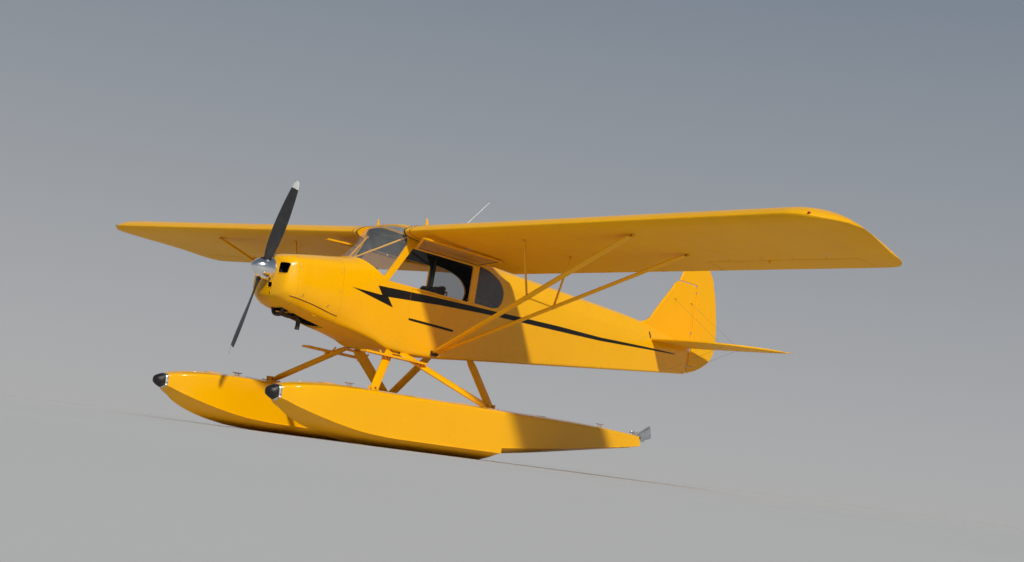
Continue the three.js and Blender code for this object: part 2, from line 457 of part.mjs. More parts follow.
// ---------------------------------------------------------------- cabin fittings
const panel = common(box(-400, 400, -196, -184, -720, -372), bodyLoft(BODY, WALL + 2, -598, 1618));
const SEATS = [['front', 330], ['rear', 985]];
const FLOORBOARD = [[-60, -1040], [900, -1040], [1560, -966]];   // its upper face, y and z
const floorBoard = common(sideView([...FLOORBOARD, [1560, -978], [900, -1052], [-60, -1052]], -400, 400), bodyLoft(BODY, WALL + 1.5, -598, 1618));
const underFloor = sideView([...FLOORBOARD.map(([y, z]) => [y, z + GAP]), [1560, -1400], [-60, -1400]], -600, 600);
const seatProfile = (y) => [[y, -800], [y + 12, -690], [y + 50, -680], [y + 370, -706], [y + 400, -690], [y + 468, -330], [y + 505, -300], [y + 548, -318], [y + 490, -770], [y + 440, -800]];
const seat = (y, w) => sideView(seatProfile(y), -w, w);
const seatFrame = (y, w) => cut(join(
  box(-w, w, y + 20, y + 46, -830, -806), box(-w, w, y + 414, y + 440, -830, -806),
  box(-w, -w + 24, y + 20, y + 440, -830, -806), box(w - 24, w, y + 20, y + 440, -830, -806),
  ...[[-w, y + 20], [w - 24, y + 20], [-w, y + 416], [w - 24, y + 416]].map(([x, yy]) => box(x, x + 24, yy, yy + 24, -1075, -810))), underFloor);
const sticks = join(strut([0, 180, -1030], [0, 130, -640], 24, 24, 8), strut([0, 898, -1030], [0, 888, -700], 24, 24, 8), box(-16, 16, 150, 900 - GAP, -1040 + GAP, -1016));
const braceFoot = [0, -368, -330];
const brace = cut(join(strut(braceFoot, [322, 110, 20], 18, 18, 8), strut(braceFoot, [-322, 110, 20], 18, 18, 8)),
  geometryOf(solid(box(-700, 700, -700, 1700, -1400, 500)).subtract(solid(bodyLoft(BODY, WALL + 1.2, -598, 1618)))));
const antenna = strut([0, 905, 130], [0, 1426, 696], 7, 7, 8);
const antennaFoot = cut(join(strut([0, 905, 100], [0, 905, 142], 40, 40, 10), antenna), bodyLoft(BODY, -0.6, -598, 1622));

// boarding planks between the cabin door and the floats, on brackets to the struts
const PLANK = { x: 470, y0: -335, y1: 470, z: -1200 };
const plank = join(box(PLANK.x - 55, PLANK.x + 55, PLANK.y0, PLANK.y1, PLANK.z - 26, PLANK.z),
  box(PLANK.x - 20, PLANK.x + 20, -60, -10, PLANK.z - 52, PLANK.z - 20), box(PLANK.x - 20, PLANK.x + 20, 380, 430, PLANK.z - 52, PLANK.z - 20));
const strutsInAir = join(...legs(1.6)).applyMatrix4(frameMatrix.clone().invert());
const plankL = geometryOf(solid(plank).subtract(solid(strutsInAir)).decompose().sort((a, b) => b.volume() - a.volume())[0]);

// ---------------------------------------------------------------- the tree
const model = new THREE.Group();
const airframe = new THREE.Group();
airframe.rotation.x = -PITCH;
airframe.position.set(0, AIR_Y, AIR_Z);
const floats = new THREE.Group();
floats.position.set(0, FLOAT_Y, 0);
model.add(airframe, floats);
function put(parent, name, geometry, finish) {
  const m = new THREE.Mesh(geometry, new THREE.MeshStandardMaterial(FINISH[finish]));
  m.name = name;
  parent.add(m);
  return m;
}
function pair(parent, name, geometryLeft, finish) {
  put(parent, `${name}_left`, geometryLeft, finish);
  put(parent, `${name}_right`, mirror(geometryLeft), finish);
}
put(airframe, 'cowling', cowlingCut, 'yellow');
put(airframe, 'engine_block', engine, 'grey');
put(airframe, 'exhaust_stacks', exhaust, 'dark');
put(airframe, 'spinner', spinner.clone().applyMatrix4(propMatrix), 'alloy');
put(airframe, 'propeller', propeller.clone().applyMatrix4(propMatrix), 'dark');
put(airframe, 'firewall', firewall, 'grey');
put(airframe, 'boot_cowl', bootCowl, 'yellow');
put(airframe, 'belly', belly, 'yellow');
put(airframe, 'cabin_roof', roof, 'yellow');
pair(airframe, 'cabin_side', sideL, 'yellow');
put(airframe, 'rear_fuselage', rearFuselage, 'yellow');
put(airframe, 'windshield', screenPane, 'glass');
put(airframe, 'skylight', skylightPane, 'glass');
pair(airframe, 'quarter_window', quarterPane, 'glass');
put(airframe, 'windshield_brace', brace, 'yellow');
pair(airframe, 'lower_door', lowerDoor, 'yellow');
pair(airframe, 'upper_door', swing(upperFrame), 'yellow');
pair(airframe, 'upper_door_pane', swing(upperPane), 'glass');
put(airframe, 'instrument_panel', panel, 'dark');
put(airframe, 'cabin_floor', floorBoard, 'dark');
for (const [name, y] of SEATS) {
  put(airframe, `${name}_seat`, seat(y, 215), 'cloth');
  put(airframe, `${name}_seat_frame`, seatFrame(y, 200), 'dark');
}
put(airframe, 'control_sticks', sticks, 'dark');
pair(airframe, 'wing', wingL, 'yellow');
pair(airframe, 'aileron', aileronL, 'yellow');
pair(airframe, 'lift_struts', liftStruts, 'yellow');
put(airframe, 'fin', fin, 'yellow');
pair(airframe, 'tailplane', stabL, 'yellow');
put(airframe, 'rudder', rudder, 'yellow');
put(airframe, 'elevator', elevator, 'yellow');
put(airframe, 'antenna', antennaFoot, 'alloy');
pair(airframe, 'boarding_plank', plankL, 'yellow');
pair(floats, 'float', floatHull.clone().translate(FLOAT_X, 0, 0), 'yellow');
pair(floats, 'bow_bumper', bumper.clone().translate(FLOAT_X, 0, 0), 'black');
pair(floats, 'float_struts', floatStruts, 'yellow');
put(floats, 'spreader_bar_front', spreader(footF[1]), 'yellow');
put(floats, 'spreader_bar_rear', spreader(footR[1]), 'yellow');
pair(floats, 'water_rudder', waterRudder.clone().translate(FLOAT_X, 0, 0), 'alloy');

export default model;
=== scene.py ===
import bpy, bmesh, math, json
import numpy as np
from mathutils import Vector, Matrix
from mathutils.bvhtree import BVHTree


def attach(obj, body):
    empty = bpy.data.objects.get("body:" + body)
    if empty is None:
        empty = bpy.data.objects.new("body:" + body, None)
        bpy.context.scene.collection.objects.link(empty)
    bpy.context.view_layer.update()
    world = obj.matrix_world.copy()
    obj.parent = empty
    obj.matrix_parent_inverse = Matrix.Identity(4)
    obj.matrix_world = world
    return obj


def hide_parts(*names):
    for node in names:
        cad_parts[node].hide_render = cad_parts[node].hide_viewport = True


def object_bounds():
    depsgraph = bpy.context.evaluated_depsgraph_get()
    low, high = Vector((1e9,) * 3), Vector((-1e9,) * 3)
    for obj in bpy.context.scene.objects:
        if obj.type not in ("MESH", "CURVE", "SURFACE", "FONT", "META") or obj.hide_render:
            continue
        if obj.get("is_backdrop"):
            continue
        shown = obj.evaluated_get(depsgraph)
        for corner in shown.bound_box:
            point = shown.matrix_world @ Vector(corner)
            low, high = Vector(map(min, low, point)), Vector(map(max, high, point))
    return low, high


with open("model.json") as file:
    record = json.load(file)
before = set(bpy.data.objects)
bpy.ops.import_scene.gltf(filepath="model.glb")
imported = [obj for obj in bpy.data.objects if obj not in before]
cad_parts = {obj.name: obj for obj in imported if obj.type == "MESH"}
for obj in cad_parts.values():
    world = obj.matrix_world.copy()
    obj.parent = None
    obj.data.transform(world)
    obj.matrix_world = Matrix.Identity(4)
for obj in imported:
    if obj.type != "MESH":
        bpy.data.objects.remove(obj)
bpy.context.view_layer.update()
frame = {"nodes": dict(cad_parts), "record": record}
NODES = frame["nodes"]

# ------------------------------------------------------------------ frames
# Airframe pieces are drawn in the airframe's own frame, in millimetres: x to the left wing, y aft, z up,
# zero at the wing's leading edge at its root. Floats are drawn in the floor frame with their table's y.
PITCH = math.radians(2.2)
MM = Matrix.Scale(0.001, 4)
AIR = Matrix.Translation((0, -1.8802, 2.110)) @ Matrix.Rotation(-PITCH, 4, "X") @ MM
FLOOR = Matrix.Translation((0, -1.8802, 0)) @ MM
WING = Matrix.Translation((368, 0, 0)) @ Matrix.Rotation(-0.024, 4, "Y") @ Matrix.Rotation(-0.03, 4, "X")
FLIP = Matrix.Scale(-1, 4, (1, 0, 0))
THRUST_Z = -612
FLOAT_X = 925
DECK = 505
TAIL_Z = -238


# ------------------------------------------------------------------ camera
def make_camera():
    az, el, roll, f = math.radians(46.143), math.radians(-6.096), math.radians(7.449), 1672.83
    pos = Vector((13.1528, -12.5781, 0.03))
    d = -Vector((math.sin(az) * math.cos(el), -math.cos(az) * math.cos(el), math.sin(el)))
    r = d.cross(Vector((0, 0, 1))).normalized()
    u = r.cross(d)
    c, s = math.cos(roll), math.sin(roll)
    R, U = r * c + u * s, u * c - r * s
    data = bpy.data.cameras.new("photo_camera")
    data.sensor_width = 36
    data.lens = f * 36 / 1024
    data.clip_end = 800
    cam = bpy.data.objects.new("photo_camera", data)
    bpy.context.scene.collection.objects.link(cam)
    m = Matrix((R, U, -d)).transposed().to_4x4()
    m.translation = pos
    cam.matrix_world = m
    bpy.context.scene.camera = cam
make_camera()


# ------------------------------------------------------------------ materials
class Mat:
    """A small wrapper to write node trees."""
    def __init__(self, name):
        self.m = bpy.data.materials.new(name)
        self.m.use_nodes = True
        self.t = self.m.node_tree
        self.t.nodes.clear()
        self.out = self.t.nodes.new("ShaderNodeOutputMaterial")
        self.b = self.t.nodes.new("ShaderNodeBsdfPrincipled")
        self.t.links.new(self.b.outputs[0], self.out.inputs[0])
        self.tc = self.t.nodes.new("ShaderNodeTexCoord")
        self.pos = self.tc.outputs["Object"]

    def n(self, kind, **kw):
        node = self.t.nodes.new("ShaderNode" + kind)
        ins = kw.pop("ins", {})
        for k, v in kw.items():
            setattr(node, k, v)
        for k, v in ins.items():
            self.set(node.inputs[k], v)
        return node

    def set(self, sock, v):
        if isinstance(v, bpy.types.NodeSocket):
            self.t.links.new(v, sock)
        elif v is not None:
            sock.default_value = v

    def math(self, op, a, b=None, c=None, clamp=False):
        node = self.n("Math", operation=op, use_clamp=clamp)
        self.set(node.inputs[0], a)
        if b is not None:
            self.set(node.inputs[1], b)
        if c is not None:
            self.set(node.inputs[2], c)
        return node.outputs[0]

    def noise(self, scale, detail=2.0, rough=0.5, vec=None, dist=0.0):
        node = self.n("TexNoise", ins={"Vector": vec or self.pos, "Scale": scale, "Detail": detail, "Roughness": rough, "Distortion": dist})
        return node.outputs["Fac"]

    def ramp(self, fac, stops):
        node = self.n("ValToRGB")
        self.set(node.inputs[0], fac)
        r = node.color_ramp
        while len(r.elements) > len(stops):
            r.elements.remove(r.elements[-1])
        while len(r.elements) < len(stops):
            r.elements.new(0.5)
        for e, (p, c) in zip(r.elements, stops):
            e.position = p
            e.color = (*c, 1) if len(c) == 3 else c
        return node.outputs[0]

    def mix(self, fac, a, b, blend="MIX"):
        node = self.n("Mix", data_type="RGBA", blend_type=blend)
        self.set(node.inputs[0], fac)
        self.set(node.inputs[6], (*a, 1) if isinstance(a, tuple) and len(a) == 3 else a)
        self.set(node.inputs[7], (*b, 1) if isinstance(b, tuple) and len(b) == 3 else b)
        return node.outputs[2]

    def mapped(self, scale=(1, 1, 1), rot=(0, 0, 0), loc=(0, 0, 0), vec=None):
        node = self.n("Mapping", ins={"Vector": vec or self.pos, "Scale": scale, "Rotation": rot, "Location": loc})
        return node.outputs[0]

    def range(self, v, a, b, c, d):
        node = self.n("MapRange", ins={"Value": v, "From Min": a, "From Max": b, "To Min": c, "To Max": d})
        return node.outputs[0]

    def xyz(self, vec=None):
        node = self.n("SeparateXYZ", ins={"Vector": vec or self.pos})
        return node.outputs

    def bump(self, height, distance, strength=1.0, normal=None):
        node = self.n("Bump", ins={"Height": height, "Distance": distance, "Strength": strength})
        if normal is not None:
            self.set(node.inputs["Normal"], normal)
        return node.outputs[0]

    def done(self, color=None, rough=None, normal=None, metallic=0.0, **kw):
        if color is not None:
            self.set(self.b.inputs["Base Color"], (*color, 1) if isinstance(color, tuple) and len(color) == 3 else color)
        if rough is not None:
            self.set(self.b.inputs["Roughness"], rough)
        self.set(self.b.inputs["Metallic"], metallic)
        if normal is not None:
            self.set(self.b.inputs["Normal"], normal)
        for k, v in kw.items():
            self.set(self.b.inputs[k.replace("_", " ")], v)
        return self.m


YEL = (0.90, 0.435, 0.0)           # warm yellow paint
YEL_D = (0.87, 0.411, 0.0)
YEL_L = (0.92, 0.452, 0.0)


def paint(name, weave=0.0, ribs=None, peel=0.15, gloss=0.24, coat=0.10, spec=0.28):
    """Warm yellow gloss paint. weave: cloth showing through; ribs: (first, pitch) of tape bands along x."""
    m = Mat(name)
    big = m.noise(1.1, 3, 0.55)
    fine = m.noise(14, 4, 0.6)
    col = m.ramp(big, [(0.25, YEL_D), (0.5, YEL), (0.8, YEL_L)])
    col = m.mix(m.range(fine, 0.4, 0.75, 0.0, 0.06), col, (0.80, 0.35, 0.0))
    rough = m.range(m.noise(6, 3, 0.6), 0.3, 0.75, gloss - 0.04, gloss + 0.09)
    down = m.n("SeparateXYZ", ins={"Vector": m.n("NewGeometry").outputs["Normal"]}).outputs[2]
    rough = m.math("ADD", rough, m.range(down, -0.15, -0.8, 0.0, 0.34))      # undersides are duller
    h = m.math("MULTIPLY", m.noise(95, 2, 0.5), peel)
    if weave:
        w1 = m.n("TexWave", wave_type="BANDS", bands_direction="X", ins={"Vector": m.pos, "Scale": 180.0, "Distortion": 0.6, "Detail": 1.0})
        w2 = m.n("TexWave", wave_type="BANDS", bands_direction="Y", ins={"Vector": m.pos, "Scale": 180.0, "Distortion": 0.6, "Detail": 1.0})
        w3 = m.n("TexWave", wave_type="BANDS", bands_direction="Z", ins={"Vector": m.pos, "Scale": 180.0, "Distortion": 0.6, "Detail": 1.0})
        w = m.math("ADD", m.math("MULTIPLY", w1.outputs["Fac"], w2.outputs["Fac"]), m.math("MULTIPLY", w3.outputs["Fac"], 0.5))
        h = m.math("ADD", h, m.math("MULTIPLY", w, weave))
    if ribs:
        x = m.math("ABSOLUTE", m.xyz()[0])
        first, pitch = ribs
        u = m.math("MODULO", m.math("ADD", m.math("SUBTRACT", x, first), pitch * 20.5), pitch)
        dist = m.math("ABSOLUTE", m.math("SUBTRACT", u, pitch / 2))
        zig = m.math("PINGPONG", m.xyz()[1], 0.0035)
        band = m.math("LESS_THAN", m.math("ADD", dist, zig), 0.027)
        stitch = m.math("LESS_THAN", dist, 0.0028)
        lace = m.math("LESS_THAN", m.math("PINGPONG", m.xyz()[1], 0.0375), 0.006)
        knots = m.math("MULTIPLY", m.math("LESS_THAN", dist, 0.006), lace)
        h = m.math("ADD", h, m.math("MULTIPLY", band, 0.6))
        h = m.math("ADD", h, m.math("MULTIPLY", stitch, 0.5))
        h = m.math("ADD", h, m.math("MULTIPLY", knots, 1.6))
        col = m.mix(m.math("MULTIPLY", band, 0.18), col, (0.84, 0.38, 0.0))
    nrm = m.bump(h, 0.0006)
    coat_n = m.bump(m.math("MULTIPLY", h, 0.35), 0.0006)
    return m.done(col, rough, nrm, Coat_Weight=coat, Coat_Roughness=0.1, Coat_Normal=coat_n, Specular_IOR_Level=spec)


def simple(name, c0, c1, scale, rough=(0.4, 0.6), metal=0.0, bump=0.0003, bscale=120, **kw):
    m = Mat(name)
    f = m.noise(scale, 4, 0.6)
    col = m.ramp(f, [(0.3, c0), (0.7, c1)])
    r = m.range(m.noise(scale * 2.3, 3, 0.6), 0.3, 0.7, rough[0], rough[1])
    nrm = m.bump(m.noise(bscale, 3, 0.6), bump)
    return m.done(col, r, nrm, metal, **kw)


def glass(name, tint, alpha):
    m = Mat(name)
    f = m.noise(3.0, 3, 0.6)
    col = m.ramp(f, [(0.3, tint), (0.7, tuple(min(1, c * 1.04) for c in tint))])
    rough = m.range(m.noise(30, 4, 0.7), 0.4, 0.7, 0.01, 0.05)
    m.done(col, rough, m.bump(m.noise(4, 2, 0.5), 0.0004), IOR=1.49, Alpha=alpha, Coat_Weight=0.25, Coat_Roughness=0.02)
    return m.m


def cloth(name, c0, c1, pitch=0.0016):
    """Woven seat cloth: two crossed sets of threads over a slow change of colour."""
    m = Mat(name)
    k = 1.0 / (pitch * 6.283) * 3.0
    wx = m.n("TexWave", wave_type="BANDS", bands_direction="X", ins={"Vector": m.pos, "Scale": k, "Distortion": 0.8, "Detail": 1.0}).outputs["Fac"]
    wy = m.n("TexWave", wave_type="BANDS", bands_direction="DIAGONAL", ins={"Vector": m.pos, "Scale": k * 0.7, "Distortion": 0.8, "Detail": 1.0}).outputs["Fac"]
    weave = m.math("MULTIPLY", wx, wy)
    col = m.ramp(m.math("ADD", m.math("MULTIPLY", m.noise(9, 4, 0.6), 0.7), m.math("MULTIPLY", weave, 0.3)), [(0.3, c0), (0.75, c1)])
    nrm = m.bump(m.math("ADD", weave, m.math("MULTIPLY", m.noise(40, 3, 0.6), 0.6)), 0.0007)
    return m.done(col, m.range(m.noise(22, 3, 0.6), 0.3, 0.7, 0.78, 0.95), nrm, Sheen_Weight=0.35, Sheen_Roughness=0.5)


M = {
    "metal": paint("yellow_paint_on_metal", peel=0.22),
    "fabric": paint("yellow_paint_on_fabric", weave=0.22, peel=0.1, gloss=0.28),
    "wing": paint("yellow_paint_on_wing_fabric", weave=0.4, ribs=(0.368, 0.357), peel=0.1, gloss=0.34, coat=0.04, spec=0.2),
    "tail": paint("yellow_paint_on_tail_fabric", weave=0.4, ribs=(0.10, 0.26), peel=0.1, gloss=0.34, coat=0.04, spec=0.2),
    "float": paint("yellow_gel_coat", peel=0.3, gloss=0.2, coat=0.2),
    "tube": paint("yellow_paint_on_tube", peel=0.2, gloss=0.26),
    "black": simple("black_stripe_paint", (0.006, 0.005, 0.004), (0.012, 0.010, 0.008), 9, (0.3, 0.42), bump=0.0001, Coat_Weight=0.06, Coat_Roughness=0.1, Specular_IOR_Level=0.22),
    "seam": simple("dark_seam", (0.16, 0.07, 0.004), (0.26, 0.115, 0.006), 60, (0.6, 0.8), bump=0.0002),
    "rubber": simple("black_rubber", (0.0025, 0.0025, 0.0025), (0.006, 0.006, 0.006), 25, (0.42, 0.6), bump=0.0006, bscale=260),
    "dark": simple("cabin_dark_grey", (0.030, 0.030, 0.032), (0.055, 0.055, 0.058), 18, (0.6, 0.85), bump=0.0005, bscale=300),
    "liner": simple("cabin_lining_cloth", (0.020, 0.019, 0.018), (0.036, 0.034, 0.032), 14, (0.75, 0.95), bump=0.0007, bscale=500, Sheen_Weight=0.2),
    "frame": simple("frame_tube_paint", (0.035, 0.045, 0.030), (0.06, 0.075, 0.05), 20, (0.4, 0.55), bump=0.0003),
    "alloy": simple("polished_aluminium", (0.78, 0.79, 0.80), (0.88, 0.885, 0.89), 7, (0.10, 0.20), 1.0, bump=0.00006, bscale=40),
    "satin": simple("satin_aluminium", (0.52, 0.53, 0.54), (0.68, 0.69, 0.70), 22, (0.28, 0.45), 1.0),
    "cast": simple("cast_aluminium", (0.16, 0.16, 0.165), (0.27, 0.27, 0.275), 40, (0.5, 0.7), 0.85, bump=0.0008, bscale=220),
    "steel": simple("dull_steel", (0.26, 0.26, 0.27), (0.40, 0.40, 0.41), 30, (0.35, 0.55), 1.0),
    "bolt": simple("dark_bolt_heads", (0.07, 0.06, 0.05), (0.16, 0.14, 0.12), 90, (0.4, 0.6), 0.9),
    "exhaust": simple("heat_stained_steel", (0.030, 0.025, 0.022), (0.10, 0.075, 0.055), 16, (0.45, 0.75), 0.8, bump=0.0006),
    "blade": simple("blade_paint", (0.018, 0.018, 0.019), (0.035, 0.035, 0.036), 12, (0.3, 0.5)),
    "white": simple("white_gloss", (0.76, 0.76, 0.74), (0.85, 0.85, 0.83), 20, (0.2, 0.35)),
    "red_lens": simple("red_lens", (0.30, 0.008, 0.006), (0.42, 0.015, 0.01), 40, (0.05, 0.12), Coat_Weight=0.8, Coat_Roughness=0.03),
    "green_lens": simple("green_lens", (0.01, 0.20, 0.08), (0.02, 0.28, 0.11), 40, (0.05, 0.12), Coat_Weight=0.8, Coat_Roughness=0.03),
    "dial": simple("dial_white", (0.62, 0.62, 0.60), (0.72, 0.72, 0.70), 50, (0.4, 0.5)),
    "seat": cloth("woven_seat_cloth", (0.05, 0.045, 0.042), (0.11, 0.10, 0.09)),
    "welt": simple("seat_welt", (0.02, 0.019, 0.018), (0.045, 0.042, 0.04), 60, (0.6, 0.8), bump=0.0004, bscale=500),
    "floor": simple("cabin_floor_board", (0.10, 0.09, 0.075), (0.16, 0.145, 0.12), 11, (0.55, 0.8), bump=0.0005),
    "wood": simple("varnished_grip", (0.09, 0.04, 0.015), (0.17, 0.08, 0.03), 16, (0.25, 0.4), Coat_Weight=0.5),
    "glass": glass("clear_plexiglass", (0.45, 0.48, 0.50), 0.10),
    "smoke": glass("grey_plexiglass", (0.16, 0.17, 0.19), 0.34),
}

SLOT_MAT = {"yellow_metal": "metal", "yellow_cover": "fabric", "yellow_wing": "wing", "yellow_tail": "tail",
            "yellow_door": "metal", "yellow_float": "float", "engine": "cast", "exhaust": "exhaust", "polished_alloy": "alloy",
            "bare_alloy": "satin", "bare_steel": "steel", "blade_black": "blade", "panel_black": "dark", "floor_board": "floor",
            "seat_cloth": "seat", "antenna_white": "white", "bumper_rubber": "rubber", "plexiglass": "glass"}
NODE_BODY, NODE_SLOT = {}, {}
for sp in frame["record"]["subparts"]:
    o = NODES[sp["node"]]
    NODE_SLOT[sp["node"]] = sp["material_slot"]
    o.data.materials.clear()
    o.data.materials.append(M[SLOT_MAT[sp["material_slot"]]])


# ------------------------------------------------------------------ curves
def pchip(xs, Y, x):
    """Smooth curve through the rows Y at xs, without overshoot, at the values x."""
    xs, Y, x = np.asarray(xs, float), np.asarray(Y, float), np.asarray(x, float)
    h = np.diff(xs)
    sh = (-1,) + (1,) * (Y.ndim - 1)
    d = np.diff(Y, axis=0) / h.reshape(sh)
    m = np.zeros_like(Y)
    for i in range(1, len(xs) - 1):
        a, b = d[i - 1], d[i]
        w1, w2 = 2 * h[i] + h[i - 1], h[i] + 2 * h[i - 1]
        same = a * b > 0
        sa, sb = np.where(same, a, 1), np.where(same, b, 1)
        m[i] = np.where(same, (w1 + w2) / (w1 / sa + w2 / sb), 0)
    m[0], m[-1] = d[0], d[-1]
    k = np.clip(np.searchsorted(xs, x, side="right") - 1, 0, len(xs) - 2)
    t = ((x - xs[k]) / h[k]).reshape(sh)
    hk = h[k].reshape(sh)
    return (2 * t**3 - 3 * t**2 + 1) * Y[k] + (t**3 - 2 * t**2 + t) * hk * m[k] + (-2 * t**3 + 3 * t**2) * Y[k + 1] + (t**3 - t**2) * hk * m[k + 1]


def cardinal(V, t_list, closed=False, lengths=None):
    """Curve through the points V (n, ...), parameters per segment t_list[k] -> stacked points. Tangents weigh by chord length."""
    V = np.asarray(V, float)
    n = len(V)
    segs = n if closed else n - 1
    nxt = lambda k: (k + 1) % n
    if lengths is None:
        lengths = np.array([max(1e-6, np.linalg.norm(V[nxt(k)] - V[k])) for k in range(segs)])
    d = [(V[nxt(k)] - V[k]) / lengths[k] for k in range(segs)]
    m = []
    for k in range(n):
        if closed or 0 < k < n - 1:
            a, b = (k - 1) % segs, k % segs
            m.append((d[a] * lengths[b] + d[b] * lengths[a]) / (lengths[a] + lengths[b]))
        else:
            m.append(d[0] if k == 0 else d[-1])
    out = []
    for k in range(segs):
        a, b = V[k], V[nxt(k)]
        for t in t_list[k]:
            out.append((2 * t**3 - 3 * t**2 + 1) * a + (t**3 - 2 * t**2 + t) * lengths[k] * m[k]
                       + (-2 * t**3 + 3 * t**2) * b + (t**3 - t**2) * lengths[k] * m[nxt(k)])
    if not closed:
        out.append(V[-1])
    return np.array(out)


def even(n, segs):
    return [[j / n for j in range(n)] for _ in range(segs)]


def round_poly(pts, r, n=5):
    """Closed 2-D outline with its corners rounded by r (a number, or one a corner)."""
    pts = [np.array(p, float) for p in pts]
    out = []
    for k, p in enumerate(pts):
        a, b = pts[k - 1], pts[(k + 1) % len(pts)]
        rk = r[k] if isinstance(r, (list, tuple)) else r
        la, lb = np.linalg.norm(a - p), np.linalg.norm(b - p)
        h = min(rk, 0.48 * la, 0.48 * lb)
        if h < 0.01:
            out.append(p)
            continue
        pa, pb = p + (a - p) / la * h, p + (b - p) / lb * h
        for j in range(n + 1):
            s = j / n
            out.append((1 - s)**2 * pa + 2 * s * (1 - s) * p + s**2 * pb)
    return np.array(out)


def area2(pts):
    p = np.asarray(pts)
    q = np.roll(p, -1, axis=0)
    return 0.5 * float(np.sum(p[:, 0] * q[:, 1] - q[:, 0] * p[:, 1]))


def inset(pts, d):
    """Closed 2-D outline moved inwards by d."""
    p = np.asarray(pts, float)
    way = 1 if area2(p) > 0 else -1
    e = np.roll(p, -1, axis=0) - p
    e /= np.maximum(1e-9, np.linalg.norm(e, axis=1, keepdims=True))
    n = np.stack([-e[:, 1], e[:, 0]], 1) * way
    n0 = np.roll(n, 1, axis=0)
    k = d / (1 + np.sum(n * n0, axis=1, keepdims=True))
    return p + (n + n0) * k


def resample(pts, step, closed=True):
    """Points along a closed or open line, no further apart than step."""
    out = []
    n = len(pts)
    for k in range(n if closed else n - 1):
        a, b = np.array(pts[k], float), np.array(pts[(k + 1) % n], float)
        m = max(1, int(math.ceil(np.linalg.norm(b - a) / step)))
        for j in range(m):
            out.append(a + (b - a) * j / m)
    if not closed:
        out.append(np.array(pts[-1], float))
    return np.array(out)


